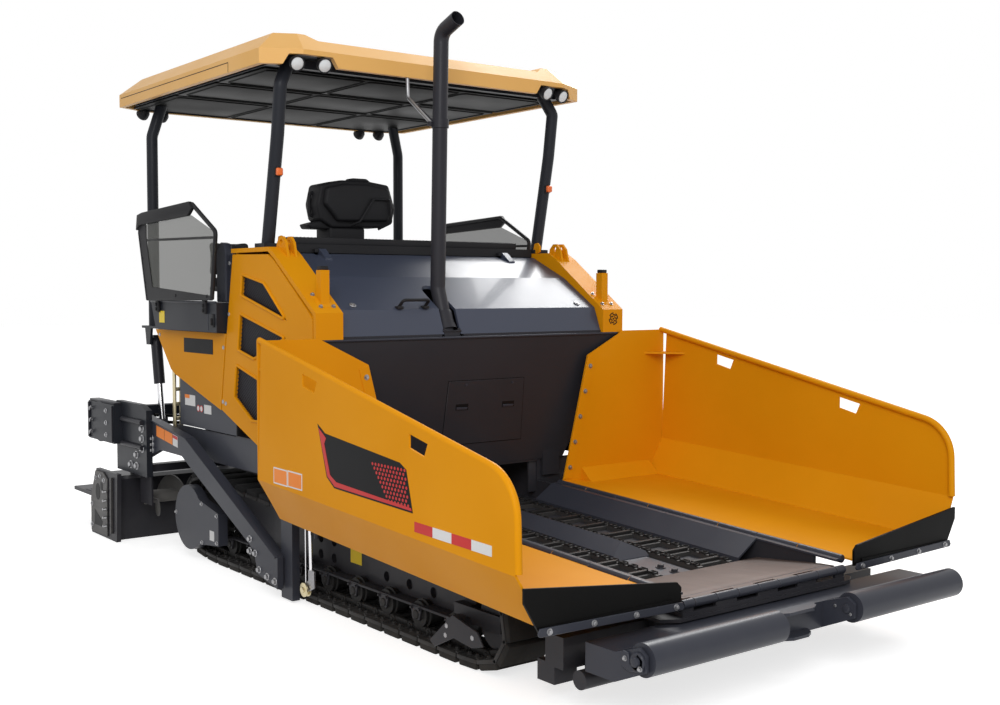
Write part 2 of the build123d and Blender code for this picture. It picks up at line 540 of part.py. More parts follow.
# ============================================================ engine bay, hood, cowls and side doors

floor_top = FRAME_TOP_Z + ENGINE_FLOOR + SEAT
with BuildPart() as engine_block:
    block((-420, 380), (-420, 420), (floor_top, 1650))
keep("engine_block", engine_block.part)

with BuildPart() as bay_wall:
    block((WALL_X - 12, WALL_X), (-TANK_HALF_Y, TANK_HALF_Y), (floor_top, 2312))
    block((WALL_X - 12, WALL_X), (-DOOR_SEAT_Y, DOOR_SEAT_Y), (1200, 2280))
    for hinge_y in HOOD_HINGE_Y:
        bar((HOOD_PIVOT[0], hinge_y - 60, HOOD_PIVOT[1]), (HOOD_PIVOT[0], hinge_y + 60, HOOD_PIVOT[1]), HOOD_PIN_R)
        for lug_y in (hinge_y - 60, hinge_y + 30):
            block((-260, HOOD_PIVOT[0] + 10), (lug_y, lug_y + 30), (2316, HOOD_PIVOT[1] + 12))
    block((WALL_X - 12, HOOD_PIVOT[0] - HOOD_KNUCKLE_R - MOVING_GAP), (-HOOD_HALF_Y, HOOD_HALF_Y), (2312, 2372))
    block((WALL_X, -235), (-HOOD_HALF_Y, -HOOD_HALF_Y + 20), (2200, 2312))
    block((WALL_X, -235), (HOOD_HALF_Y - 20, HOOD_HALF_Y), (2200, 2312))
keep("bay_wall", bay_wall.part)

hood_outline = [(580, HOOD_FRONT_Z), (512, 1922), (170, 2142), (-200, 2306)]
hood_inner = [(-206, 2286), (162, 2123), (496, 1908), (560, HOOD_FRONT_Z)]
with BuildPart() as hood:
    plate(side_plane(HOOD_HALF_Y), hood_outline + hood_inner, 2 * HOOD_HALF_Y)
    with BuildSketch(Plane.XY.offset(1700)) as slot:
        with Locations((470, EXHAUST_Y)):
            SlotCenterToCenter(276, 140)
        with Locations((700, EXHAUST_Y)):
            Rectangle(300, 140)
    extrude(slot.sketch, amount=600, mode=Mode.SUBTRACT)
    for hinge_y in HOOD_HINGE_Y:
        plate(side_plane(hinge_y + 27), [(-206, 2335), (-190, 2340), (-100, 2272), (-100, 2255), (-206, 2295)], 54)
        bar((HOOD_PIVOT[0], hinge_y - 27, HOOD_PIVOT[1]), (HOOD_PIVOT[0], hinge_y + 27, HOOD_PIVOT[1]), HOOD_KNUCKLE_R)
        bar((HOOD_PIVOT[0], hinge_y - 28, HOOD_PIVOT[1]), (HOOD_PIVOT[0], hinge_y + 28, HOOD_PIVOT[1]),
            HOOD_PIN_R + SEAT, mode=Mode.SUBTRACT)
        for lug_y in (hinge_y - 63, hinge_y + 27):
            block((-215, HOOD_PIVOT[0] + 20), (lug_y, lug_y + 36), (2280, HOOD_PIVOT[1] + 20), mode=Mode.SUBTRACT)
keep("hood", hood.part)

cowl_outer = [(COWL_FRONT_X, BULKHEAD_TOP_Z + SEAT), (COWL_FRONT_X, 1905), (60, 2290), (-30, COWL_TOP_Z), (WALL_X + 15, COWL_TOP_Z)]
cowl_inner = [(WALL_X + 15, COWL_TOP_Z - PANEL_THICK), (-36, COWL_TOP_Z - PANEL_THICK), (48, 2262), (570, 1889), (570, BULKHEAD_TOP_Z + SEAT)]
with BuildPart() as corner_cowl:
    plate(side_plane(COWL_HALF_Y), cowl_outer + cowl_inner, COWL_HALF_Y - HOOD_HALF_Y - MOVING_GAP)
    block((LIFT_POST[0] - 31, LIFT_POST[0] + 31), (LIFT_POST[1] - 31, LIFT_POST[1] + 31), (1960, 2179))
    # upright wall beside the hood, from under the cowl to below the hood's surface
    plate(side_plane(HOOD_HALF_Y + MOVING_GAP + 8),
          [(570, BULKHEAD_TOP_Z + SEAT), (570, 1889), (48, 2262), (-36, COWL_TOP_Z - PANEL_THICK), (WALL_X + 15, COWL_TOP_Z - PANEL_THICK),
           (WALL_X + 15, 2250), (-230, 2200), (150, 2050), (480, 1850), (540, BULKHEAD_TOP_Z + SEAT)], 8)
    for ear_y in (1248, 1188):
        plate(side_plane(ear_y), [(-70, 2320), (90, 2260), (60, 2370), (20, 2410), (-20, 2410), (-60, 2370)], 18)
        bar((EYE_HOLE[0], ear_y + 1, EYE_HOLE[1]), (EYE_HOLE[0], ear_y - 19, EYE_HOLE[1]), EYE_HOLE_R, mode=Mode.SUBTRACT)
    # post and pivots of the grille door
    block((COWL_FRONT_X - 30, COWL_FRONT_X - 2), (COWL_HALF_Y - 34, COWL_HALF_Y), (1080, BULKHEAD_TOP_Z + 20))
    block((DOOR_PIVOT[0] - 14, COWL_FRONT_X - 2), (COWL_HALF_Y - PANEL_THICK, COWL_HALF_Y), (1080, 1102))
    bar((*DOOR_PIVOT, 1090), (*DOOR_PIVOT, 1150), DOOR_PIN_R)
    bar((*DOOR_PIVOT, 1835), (*DOOR_PIVOT, 1920), DOOR_PIN_R)
    block((WALL_X + 2, WALL_X + 40), (HOOD_HALF_Y + MOVING_GAP, 1285), (2250, COWL_TOP_Z - 10))
keep_both("corner_cowls", corner_cowl.part)

door_outline = [(-560, 2300), (-40, 2290), (42, 2252), (500, 1915), (DOOR_FRONT_X, 1865), (DOOR_FRONT_X, 1120), (-200, 985), (-760, 1190), (-665, 1750)]
grilles = {
    "upper": [(-416, 2159), (-92, 2099), (224, 1850), (-434, 2014)],
    "middle": [(-453, 1888), (209, 1738), (-248, 1579), (-489, 1631)],
    "lower": [(-515, 1525), (190, 1350), (190, 1170), (-286, 1149), (-552, 1296)],
}
with BuildPart() as grille_door:
    plate(side_plane(COWL_HALF_Y), door_outline, PANEL_THICK)
    for opening in grilles.values():
        plate(side_plane(COWL_HALF_Y), opening, PANEL_THICK - MESH_THICK, mode=Mode.SUBTRACT)
    bar((*DOOR_PIVOT, 1100), (*DOOR_PIVOT, 1152), DOOR_PIN_R + SEAT, mode=Mode.SUBTRACT)
    bar((*DOOR_PIVOT, 1833), (*DOOR_PIVOT, 1910), DOOR_PIN_R + SEAT, mode=Mode.SUBTRACT)
keep_pair("grille_door", grille_door.part)

with BuildPart() as side_panel:
    plate(side_plane(COWL_HALF_Y),
          [(-1945, PLATFORM_Z - SEAT), (-1654, 1438), (-1579, 1403), (-778, 1187), (-683, PLATFORM_Z - SEAT)], PANEL_THICK)
    block((-1500, -900), (TANK_HALF_Y + SEAT, COWL_HALF_Y - PANEL_THICK + 2), (1430, 1700))
keep_both("side_panels", side_panel.part)

with BuildPart() as rear_tank:
    plate(side_plane(TANK_HALF_Y),
          [(WALL_X - 12.3, floor_top), (WALL_X - 12.3, PLATFORM_Z - SEAT), (-1880, PLATFORM_Z - SEAT), (-1880, 1660),
           (-1654, 1450), (-1579, 1415), (-1579, floor_top)], 2 * TANK_HALF_Y)
keep("rear_tank", rear_tank.part)

with BuildPart() as lower_panel:
    plate(side_plane(1269), [(-1700, FRAME_TOP_Z - SEAT), (420, FRAME_TOP_Z - SEAT), (420, 900), (200, 775),
                             (-1500, 775), (-1700, 900)], 12)
    for x in (-1200, -200):
        block((x - 20, x + 20), (FRAME_HALF_Y + SEAT, 1260), (900, FRAME_TOP_Z - SEAT))
keep_both("lower_panels", lower_panel.part)

# ============================================================ operator's platform

with BuildPart() as platform:
    block((PLATFORM_REAR_X, WALL_X - 14), (-TANK_HALF_Y, TANK_HALF_Y), (PLATFORM_Z, PLATFORM_Z + PLATFORM_THICK))
    for side in (1, -1):
        plate(side_plane(PLATFORM_HALF_Y if side > 0 else -1050),
              [(-1775, PLATFORM_Z + 8), (-682, PLATFORM_Z + 8), (-682, SIDE_BOX_TOP_Z), (-1860, SIDE_BOX_TOP_Z)], 350)
    for side in (1, -1):
        for cheek_y in (side * LIFT_Y + 70, side * LIFT_Y - 50):
            plate(side_plane(cheek_y), [(LIFT_TOP[0] - 60, PLATFORM_Z), (LIFT_TOP[0] - 35, LIFT_TOP[1] - 35),
                                        (LIFT_TOP[0] + 35, LIFT_TOP[1] - 35), (LIFT_TOP[0] + 60, PLATFORM_Z)], 20)
        bar((LIFT_TOP[0], side * LIFT_Y - 60, LIFT_TOP[1]), (LIFT_TOP[0], side * LIFT_Y + 60, LIFT_TOP[1]), 20)
keep("platform", platform.part)

with BuildPart() as wind_guard:
    plate(side_plane(1432), [(-1850, 1965), (-694, 1975), (-606, 2380), (-640, 2470), (-1010, 2560), (-1890, 2590),
                             (-2000, 2516)], 8)
    pipe([(-1850, 1428, 1975), (-2000, 1428, 2516), (-1890, 1428, 2633), (-1010, 1428, 2674), (-620, 1428, 2460),
          (-694, 1428, 1985)], 16, 40)
    for x in (-1700, -850):
        block((x - 30, x + 30), (PLATFORM_HALF_Y + SEAT, 1430), (1880, 2000))
keep_both("wind_guards", wind_guard.part)

with BuildPart() as console:
    block((-1150, -860), (-500, 200), (2420, 2900))
    block((-1080, -930), (-300, 0), (PLATFORM_Z + PLATFORM_THICK + SEAT, 2420))
keep("console", console.part)

with BuildPart() as seat:
    block((-1600, -1150), (650, 1020), (PLATFORM_Z + 320, PLATFORM_Z + 420))
    block((-1690, -1580), (650, 1020), (PLATFORM_Z + 380, PLATFORM_Z + 700))
    block((-1500, -1250), (750, 920), (PLATFORM_Z + PLATFORM_THICK + SEAT, PLATFORM_Z + 330))
keep_both("seats", seat.part)

# ============================================================ canopy, posts and exhaust

corner = 260.0
canopy_plan = [
    (CANOPY_FRONT_X, -CANOPY_HALF_Y + corner), (CANOPY_FRONT_X, CANOPY_HALF_Y - corner),
    (CANOPY_FRONT_X - 130, CANOPY_HALF_Y), (CANOPY_REAR_X + 130, CANOPY_HALF_Y),
    (CANOPY_REAR_X, CANOPY_HALF_Y - corner), (CANOPY_REAR_X, -CANOPY_HALF_Y + corner),
    (CANOPY_REAR_X + 130, -CANOPY_HALF_Y), (CANOPY_FRONT_X - 130, -CANOPY_HALF_Y),
]
with BuildPart() as canopy_roof:
    with BuildSketch(Plane.XY.offset(CANOPY_BOTTOM_Z)) as plan:
        Polygon(*canopy_plan, align=None)
    extrude(plan.sketch, amount=CANOPY_EDGE_Z - CANOPY_BOTTOM_Z)
    with BuildSketch(Plane.XY.offset(CANOPY_EDGE_Z)) as crown:
        Polygon(*canopy_plan, align=None)
    extrude(crown.sketch, amount=CANOPY_TOP_Z - CANOPY_EDGE_Z, taper=50)
    with BuildSketch(Plane.XY.offset(CANOPY_BOTTOM_Z)) as hollow:
        Polygon(*canopy_plan, align=None)
        offset(amount=-CANOPY_WALL, kind=Kind.INTERSECTION, mode=Mode.REPLACE)
    extrude(hollow.sketch, amount=CANOPY_EDGE_Z - CANOPY_BOTTOM_Z, mode=Mode.SUBTRACT)
    # the crown is lower between the corners
    plate(cross_plane(CANOPY_REAR_X - 10),
          [(-POD_Y, CANOPY_TOP_Z + 10), (-POD_Y + 90, CANOPY_TOP_Z - POD_HEIGHT), (POD_Y - 90, CANOPY_TOP_Z - POD_HEIGHT),
           (POD_Y, CANOPY_TOP_Z + 10)], CANOPY_FRONT_X - CANOPY_REAR_X + 20, mode=Mode.SUBTRACT)
    # recess for the lamps in each front corner
    for side in (1, -1):
        plate(cross_plane(CANOPY_FRONT_X - 135),
              [(side * 870, CANOPY_BOTTOM_Z - 1), (side * 915, CANOPY_BOTTOM_Z + LAMP_RECESS),
               (side * 1225, CANOPY_BOTTOM_Z + LAMP_RECESS), (side * 1262, CANOPY_BOTTOM_Z - 1)], 140, mode=Mode.SUBTRACT)
keep("canopy_roof", canopy_roof.part)

with BuildPart() as canopy_post:
    pipe([(-272, POST_Y, COWL_TOP_Z + 20), (-120, POST_Y, 3100), (-75, POST_Y, 3430), (-120, POST_Y - 90, 3600)],
         POST_SIZE / 2, 60)
    block((-340, -200), (POST_Y - 66, POST_Y + 66), (COWL_TOP_Z + SEAT, COWL_TOP_Z + 32))
    pipe([(-2270, POST_Y, PLATFORM_Z + PLATFORM_THICK + SEAT), (-2270, POST_Y, 3300), (-2240, POST_Y - 90, 3600)],
         POST_SIZE / 2, 120)
with BuildPart() as canopy_frame:
    with BuildSketch(Plane.XY.offset(CANOPY_EDGE_Z - 30 - SEAT)) as liner:
        Polygon(*canopy_plan, align=None)
        offset(amount=-CANOPY_WALL - SEAT, kind=Kind.INTERSECTION, mode=Mode.REPLACE)
    extrude(liner.sketch, amount=30)
    for beam_x in (-2270, -1600, -900, -120):
        block((beam_x - 30, beam_x + 30), (-1290, 1290), (CANOPY_BOTTOM_Z + 15, CANOPY_EDGE_Z - 30))
    for side in (1, -1):
        block((-2400, 0), (side * 1230, side * 1290), (CANOPY_BOTTOM_Z + 15, CANOPY_EDGE_Z - 30))
    add(canopy_post.part)
    mirror(canopy_post.part, about=Plane.XZ)
keep("canopy_frame", canopy_frame.part)

with BuildPart() as exhaust:
    pipe([(510, EXHAUST_Y, 1760), (405, EXHAUST_Y, 2060), (449, EXHAUST_Y, 3800), (638, EXHAUST_Y, 3868)], EXHAUST_R, 90)
    bar((560, EXHAUST_Y, 3840), (640, EXHAUST_Y, 3869), EXHAUST_R - 5, mode=Mode.SUBTRACT)
    block((440, 575), (EXHAUST_Y - 65, EXHAUST_Y + 65), (BULKHEAD_TOP_Z + SEAT, 1765))
    pipe([(430, EXHAUST_Y - 50, 3200), (118, EXHAUST_Y - 50, 3400), (110, EXHAUST_Y - 50, CANOPY_BOTTOM_Z - 1)], 9, 60)
    bar((436, EXHAUST_Y, 3180), (437, EXHAUST_Y, 3220), EXHAUST_R + 8)
keep("exhaust", exhaust.part)

# ============================================================ augers

beam_rear_x = FRAME_REAR_X - SEAT
with BuildPart() as auger_frame:
    block((beam_rear_x - 90, beam_rear_x), (-1385, 1385), (600, 660))
    block((AUGER_X - 60, AUGER_X + 60), (-45, 45), (AUGER_Z - 130, 620))
    block((AUGER_X, beam_rear_x), (-45, 45), (600, 660))
    for side in (1, -1):
        block((AUGER_X - 40, beam_rear_x), (side * 1370, side * 1385), (AUGER_Z - 40, 660))
        bar((AUGER_X, side * 44, AUGER_Z), (AUGER_X, side * 1371, AUGER_Z), 25)
keep("auger_frame", auger_frame.part)

with BuildPart() as auger:
    bar((AUGER_X, 55, AUGER_Z), (AUGER_X, 1360, AUGER_Z), 50)
    for blade in range(5):
        blade_y = 55 + AUGER_PITCH * (blade + 0.5)
        lean = Vector(sin(radians(14)), cos(radians(14)), 0)
        centre = Vector(AUGER_X, blade_y, AUGER_Z)
        with BuildSketch(Plane(origin=centre - lean * 6, z_dir=lean)) as disc:
            Circle(AUGER_R)
        extrude(disc.sketch, amount=12)
    bar((AUGER_X, 50, AUGER_Z), (AUGER_X, 1370, AUGER_Z), 25 + SEAT, mode=Mode.SUBTRACT)
keep_pair("auger", auger.part)

# ============================================================ screed and tow arms

with BuildPart() as tow_guide:
    block((148, 298), (1290, 1345), (15, 760))
    block((160, 286), (FRAME_HALF_Y + SEAT, 1345), (700, 760))
    block((60, 160), (1300, 1345), (130, 260))
    bar((TOW_PIN[0], 1340, TOW_PIN[1]), (TOW_PIN[0], ARM_Y[1], TOW_PIN[1]), TOW_PIN_R)
    bar((560, 1310, 470), (560, 1310, 760), 16)
    block((286, 600), (1290, 1330), (725, 760))
keep_both("tow_guides", tow_guide.part)

arm_outline = [(-2058, 1044), (-1365, 959), (-1222, 936), (198, 292), (194, 81), (-87, 133), (-141, 287), (-1315, 799),
               (-1724, 802), (-1988, 710)]
with BuildPart() as tow_arm:
    plate(side_plane(ARM_Y[1]), arm_outline, ARM_Y[1] - ARM_Y[0])
    bar((TOW_PIN[0], ARM_Y[1] + 1, TOW_PIN[1]), (TOW_PIN[0], ARM_Y[0] - 1, TOW_PIN[1]), TOW_PIN_R + SEAT,
        mode=Mode.SUBTRACT)
keep_both("tow_arms", tow_arm.part)

with BuildPart() as screed_frame:
    for side in (1, -1):
        plate(side_plane(1450 if side > 0 else -ARM_Y[1] - SEAT),
              [(LIFT_BEAM_X[0], 570), (-1870, 570), (-1870, 1100), (-2000, 1140), (LIFT_BEAM_X[0], 1140)],
              1450 - ARM_Y[1] - SEAT)
        bar((-2700, side * 1420, 950), (-2700, side * 1520, 950), 170)
        plate(side_plane(1520 if side > 0 else -1420), [(-2960, 790), (-2380, 790), (-2380, 1110), (-2960, 1110)], 100)
        plate(side_plane(side * LIFT_Y + 10),
              [(LIFT_BEAM_X[0], LIFT_BEAM_Z[0] + 40), (LIFT_BEAM_X[1], LIFT_BEAM_Z[0] + 20), (LIFT_BEAM_X[1] + 90, LIFT_EYE[1] + 28),
               (LIFT_EYE[0] + 5, LIFT_EYE[1] + 28), (LIFT_EYE[0] + 28, LIFT_EYE[1] + 15), (LIFT_EYE[0] + 28, LIFT_EYE[1] - 15),
               (LIFT_EYE[0] + 5, LIFT_EYE[1] - 28), (LIFT_BEAM_X[1], LIFT_EYE[1] - 50), (LIFT_BEAM_X[0], LIFT_EYE[1] - 20)], 20)
    block(LIFT_BEAM_X, (-1440, 1440), LIFT_BEAM_Z)
    for leg_y in (-1300, -500, 500, 1300):
        block((LIFT_BEAM_X[0], LIFT_BEAM_X[0] + 60), (leg_y - 40, leg_y + 40), (520 + SEAT, LIFT_BEAM_Z[0] + 5))
keep("screed_frame", screed_frame.part)

with BuildPart() as screed_body:
    plate(side_plane(SCREED_HALF_Y), [(SCREED_FRONT_X, 0), (SCREED_FRONT_X, 500), (SCREED_FRONT_X - 60, 520),
                                      (SCREED_REAR_X + 120, 520), (SCREED_REAR_X, 400), (SCREED_REAR_X, 0)], 2 * SCREED_HALF_Y)
keep("screed_body", screed_body.part)

with BuildPart() as end_plate:
    plate(side_plane(SCREED_END_Y), [(-2260, 0), (-2230, 560), (-2700, 560), (-2830, 300), (-2830, 0)],
          SCREED_END_Y - SCREED_HALF_Y - SEAT)
keep_both("end_plates", end_plate.part)

with BuildPart() as walkway:
    block((WALKWAY_REAR_X, -2960), (-1480, 1480), (270, 300))
    for arm_y in (-1300, -450, 450, 1300):
        block((WALKWAY_REAR_X + 50, SCREED_REAR_X - SEAT), (arm_y - 25, arm_y + 25), (230, 270))
keep("walkway", walkway.part)

lift_run = Vector(LIFT_EYE[0] - LIFT_TOP[0], 0, LIFT_EYE[1] - LIFT_TOP[1])
lift_dir = lift_run.normalized()
top = Vector(LIFT_TOP[0], LIFT_Y, LIFT_TOP[1])
eye = Vector(LIFT_EYE[0], LIFT_Y, LIFT_EYE[1])
with BuildPart() as lift_barrel:
    bar(tuple(top), tuple(top + lift_dir * LIFT_BARREL_LENGTH), LIFT_BARREL_R)
    bar((LIFT_TOP[0], LIFT_Y + 28, LIFT_TOP[1]), (LIFT_TOP[0], LIFT_Y - 28, LIFT_TOP[1]), 42)
    bar(tuple(top + lift_dir * 45), tuple(top + lift_dir * (LIFT_BARREL_LENGTH + 1)), LIFT_ROD_R + SEAT, mode=Mode.SUBTRACT)
    bar((LIFT_TOP[0], LIFT_Y + 60, LIFT_TOP[1]), (LIFT_TOP[0], LIFT_Y - 60, LIFT_TOP[1]), 20 + SEAT, mode=Mode.SUBTRACT)
keep_pair("lift_barrel", lift_barrel.part)
lift_across = Vector(lift_dir.Z, 0, -lift_dir.X)


def fork_corner(run, reach):
    """A corner of the fork's arm: run back from the eye, reach across, in the sketch's x and z."""
    corner_point = eye - lift_dir * run + lift_across * reach
    return (corner_point.X, corner_point.Z)


fork = 75                       # from the eye up to the bridge of the rod's fork
with BuildPart() as lift_rod:
    bar(tuple(top + lift_dir * (LIFT_BARREL_LENGTH - 35)), tuple(eye - lift_dir * fork), LIFT_ROD_R)
    with Locations(tuple(eye - lift_dir * fork)):
        Box(40, 80, 30)
    for cheek in (1, -1):
        bar(tuple(eye + Vector(0, cheek * 16, 0)), tuple(eye + Vector(0, cheek * 36, 0)), 32)
        with BuildSketch(side_plane(LIFT_Y + (36 if cheek > 0 else -16))) as arm:
            Polygon(*[fork_corner(run, reach)
                      for run, reach in ((0, -20), (fork, -20), (fork, 20), (0, 20))], align=None)
        extrude(arm.sketch, amount=20)
keep_pair("lift_rod", lift_rod.part)
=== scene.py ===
# %% [markdown]
# A tracked asphalt paver. The machine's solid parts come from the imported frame, at their real size in metres.
# This lesson dresses them: it gives each surface its finish, and adds the bolts, lamps, shoes, flights and trim
# that are too fine for the solid model. Every new piece rides on a body of the frame, so it moves with it.

import json
import math

import bmesh
import bpy
from mathutils import Matrix, Vector


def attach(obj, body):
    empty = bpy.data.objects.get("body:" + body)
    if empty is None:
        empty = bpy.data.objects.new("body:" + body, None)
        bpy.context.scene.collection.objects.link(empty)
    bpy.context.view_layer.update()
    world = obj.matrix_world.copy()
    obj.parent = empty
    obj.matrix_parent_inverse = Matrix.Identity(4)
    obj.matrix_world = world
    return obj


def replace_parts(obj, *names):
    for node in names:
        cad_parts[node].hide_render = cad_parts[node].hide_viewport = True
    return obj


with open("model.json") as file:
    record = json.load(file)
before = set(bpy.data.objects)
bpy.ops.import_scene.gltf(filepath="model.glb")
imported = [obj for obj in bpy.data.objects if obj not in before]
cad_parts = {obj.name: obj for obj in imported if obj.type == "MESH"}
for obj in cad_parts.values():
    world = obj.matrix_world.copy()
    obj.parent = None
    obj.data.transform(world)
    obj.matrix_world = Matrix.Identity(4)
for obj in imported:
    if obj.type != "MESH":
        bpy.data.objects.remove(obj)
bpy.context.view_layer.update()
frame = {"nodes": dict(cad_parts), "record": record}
nodes = frame["nodes"]
SIDES = ((1, "left"), (-1, "right"))

# %% [markdown]
# The camera stands at the front right of the machine, a little above eye height, and looks slightly down. The lens
# is set first, because it decides which details show. A small shift keeps the machine in the middle of the view.

# %% Camera
AZIMUTH = 53.322
LOOK_DOWN = 3.151
camera = bpy.data.objects.new("camera", bpy.data.cameras.new("camera"))
camera.location = (7.271, -5.153, 2.058)
camera.rotation_euler = (math.radians(90 - LOOK_DOWN), 0, math.radians(AZIMUTH))
camera.data.lens = 43.79
camera.data.sensor_width = 36
camera.data.shift_x = 0.0378
camera.data.shift_y = 0.0035
bpy.context.scene.collection.objects.link(camera)
bpy.context.scene.camera = camera
print("camera at", tuple(round(c, 3) for c in camera.location))

# %% [markdown]
# The light is that of a plain studio: a white world, which the camera sees as the background, and two large soft
# lamps. The key lamp stands on the camera's right and above, so that the wing nearest to the camera is a little
# darker than the surfaces that face up. The floor is a large pale plane that keeps the machine's shadow.

# %% Light and floor
scene = bpy.context.scene
scene.view_settings.view_transform = "Standard"


def add_node(tree, kind, operation=None, **numbers):
    """A new shader node, with its operation and the numbers that its sockets hold."""
    node = tree.nodes.new("ShaderNode" + kind)
    if operation:
        node.operation = operation
    for label, value in numbers.items():
        node.inputs[label.replace("_", " ")].default_value = value
    return node


def wire(tree, *pairs):
    """Links sockets, given in pairs of an output and an input."""
    for start, end in pairs:
        tree.links.new(start, end)


def rays_that_see(tree):
    """1 for the rays that look at the background: the camera's, and those that metal and glass send on."""
    rays = add_node(tree, "LightPath").outputs
    total = rays["Is Camera Ray"]
    for ray in ("Is Glossy Ray", "Is Transmission Ray"):
        either = add_node(tree, "Math", "MAXIMUM")
        wire(tree, (total, either.inputs[0]), (rays[ray], either.inputs[1]))
        total = either.outputs[0]
    return total


def new_material(name, **numbers):
    """A material, its node tree, and its shader's sockets, which hold the given numbers."""
    material = bpy.data.materials.new(name)
    material.use_nodes = True
    sockets = material.node_tree.nodes["Principled BSDF"].inputs
    for label, value in numbers.items():
        sockets[label.replace("_", " ")].default_value = value
    return material, material.node_tree, sockets


def soft_lamp(name, place, aim, size, watts):
    """A square area lamp that looks at a point."""
    lamp = bpy.data.objects.new(name, bpy.data.lights.new(name, "AREA"))
    lamp.data.size = size
    lamp.data.energy = watts
    lamp.location = place
    lamp.rotation_euler = (Vector(aim) - Vector(place)).to_track_quat("-Z", "Y").to_euler()
    scene.collection.objects.link(lamp)


WORLD_LIGHT, WORLD_SEEN = 0.55, 1.0
FLOOR_GLOW = 0.72
scene.world = bpy.data.worlds.new("studio")
scene.world.use_nodes = True
sky = scene.world.node_tree
background = sky.nodes["Background"].inputs
background["Color"].default_value = (1, 1, 1, 1)
strength = add_node(sky, "MapRange", To_Min=WORLD_LIGHT, To_Max=WORLD_SEEN)
wire(sky, (rays_that_see(sky), strength.inputs["Value"]), (strength.outputs["Result"], background["Strength"]))
soft_lamp("key_lamp", (-4.0, 7.6, 8.8), (0.3, 0, 1.5), 5.6, 950)
soft_lamp("front_lamp", (8.5, -7.0, 7.0), (1.0, 0, 1.0), 6.0, 620)

floor_material, floor_tree, floor_shader = new_material(
    "studio_floor", Base_Color=(0.62, 0.62, 0.62, 1), Roughness=0.9, Specular_IOR_Level=0.1,
    Emission_Color=(1, 1, 1, 1))
glow = add_node(floor_tree, "Math", "MULTIPLY")
glow.inputs[1].default_value = FLOOR_GLOW
wire(floor_tree, (rays_that_see(floor_tree), glow.inputs[0]), (glow.outputs[0], floor_shader["Emission Strength"]))
floor_mesh = bmesh.new()
bmesh.ops.create_grid(floor_mesh, x_segments=1, y_segments=1, size=60)
floor = bpy.data.objects.new("studio_floor", bpy.data.meshes.new("studio_floor"))
floor_mesh.to_mesh(floor.data)
floor_mesh.free()
floor.data.materials.append(floor_material)
scene.collection.objects.link(floor)
print("lamps:", [light.name for light in bpy.data.lights])

# %% [markdown]
# Several finishes share the same effects: a fine grain in the surface, soft blotches of tone, dust that lies low
# down, and streaks along worn steel. Each effect is built once as a node group that reads Object coordinates, which
# are metres on the machine, so no pattern slides when a piece moves.


# %% Shared effects
def effect_group(name, output, **numbers):
    """An empty shader group: the group, its inputs, its one output, and the Object coordinates inside it."""
    group = bpy.data.node_groups.new(name, "ShaderNodeTree")
    for label, value in numbers.items():
        socket = group.interface.new_socket(label, in_out="INPUT", socket_type="NodeSocketFloat")
        socket.default_value = value
    group.interface.new_socket(output, in_out="OUTPUT", socket_type="NodeSocketFloat")
    given, made, where = (group.nodes.new(kind)
                          for kind in ("NodeGroupInput", "NodeGroupOutput", "ShaderNodeTexCoord"))
    return group, given.outputs, made.inputs[output], where.outputs["Object"]


grain, given, result, where = effect_group("surface_grain", "Height", Scale=400.0, Detail=2.0)
noise = add_node(grain, "TexNoise")
wire(grain, (where, noise.inputs["Vector"]), (given["Scale"], noise.inputs["Scale"]),
     (given["Detail"], noise.inputs["Detail"]), (noise.outputs["Fac"], result))

blotches, given, result, where = effect_group("soft_blotches", "Mask", Scale=1.5, Low=0.35, High=0.7)
noise = add_node(blotches, "TexNoise", Detail=5.0)
spread = add_node(blotches, "MapRange")
wire(blotches, (where, noise.inputs["Vector"]), (given["Scale"], noise.inputs["Scale"]),
     (noise.outputs["Fac"], spread.inputs["Value"]), (given["Low"], spread.inputs["From Min"]),
     (given["High"], spread.inputs["From Max"]), (spread.outputs["Result"], result))

dust, given, result, where = effect_group("settled_dust", "Mask", Reach=1.0, Amount=0.3)
split = add_node(dust, "SeparateXYZ")
low_down = add_node(dust, "MapRange", To_Min=1.0, To_Max=0.0)
noise = add_node(dust, "TexNoise", Scale=9.0, Detail=6.0)
broken = add_node(dust, "Math", "MULTIPLY")
scaled = add_node(dust, "Math", "MULTIPLY")
wire(dust, (where, split.inputs["Vector"]), (where, noise.inputs["Vector"]),
     (split.outputs["Z"], low_down.inputs["Value"]), (given["Reach"], low_down.inputs["From Max"]),
     (low_down.outputs["Result"], broken.inputs[0]), (noise.outputs["Fac"], broken.inputs[1]),
     (broken.outputs[0], scaled.inputs[0]), (given["Amount"], scaled.inputs[1]), (scaled.outputs[0], result))

streaks, given, result, where = effect_group("scrape_streaks", "Mask", Along=1.5, Across=40.0)
stretch = add_node(streaks, "CombineXYZ")
scale_up = add_node(streaks, "VectorMath", "MULTIPLY")
noise = add_node(streaks, "TexNoise", Scale=1.0, Detail=4.0)
wire(streaks, (given["Along"], stretch.inputs["X"]), (given["Across"], stretch.inputs["Y"]),
     (given["Across"], stretch.inputs["Z"]), (where, scale_up.inputs[0]),
     (stretch.outputs["Vector"], scale_up.inputs[1]), (scale_up.outputs["Vector"], noise.inputs["Vector"]),
     (noise.outputs["Fac"], result))


def place_effect(tree, group, **numbers):
    """Puts an effect in a material, with this material's own numbers, and gives its output."""
    node = tree.nodes.new("ShaderNodeGroup")
    node.node_tree = group
    for label, value in numbers.items():
        node.inputs[label].default_value = value
    return node.outputs[0]


def mix_colours(tree, mask, first, second):
    """A colour that goes from first to second with the mask. Each is a colour or another node's output."""
    mix = tree.nodes.new("ShaderNodeMix")
    mix.data_type = "RGBA"
    tree.links.new(mask, mix.inputs["Factor"])
    for socket, colour in ((mix.inputs[6], first), (mix.inputs[7], second)):
        if isinstance(colour, tuple):
            socket.default_value = (*colour, 1)
        else:
            tree.links.new(colour, socket)
    return mix.outputs[2]


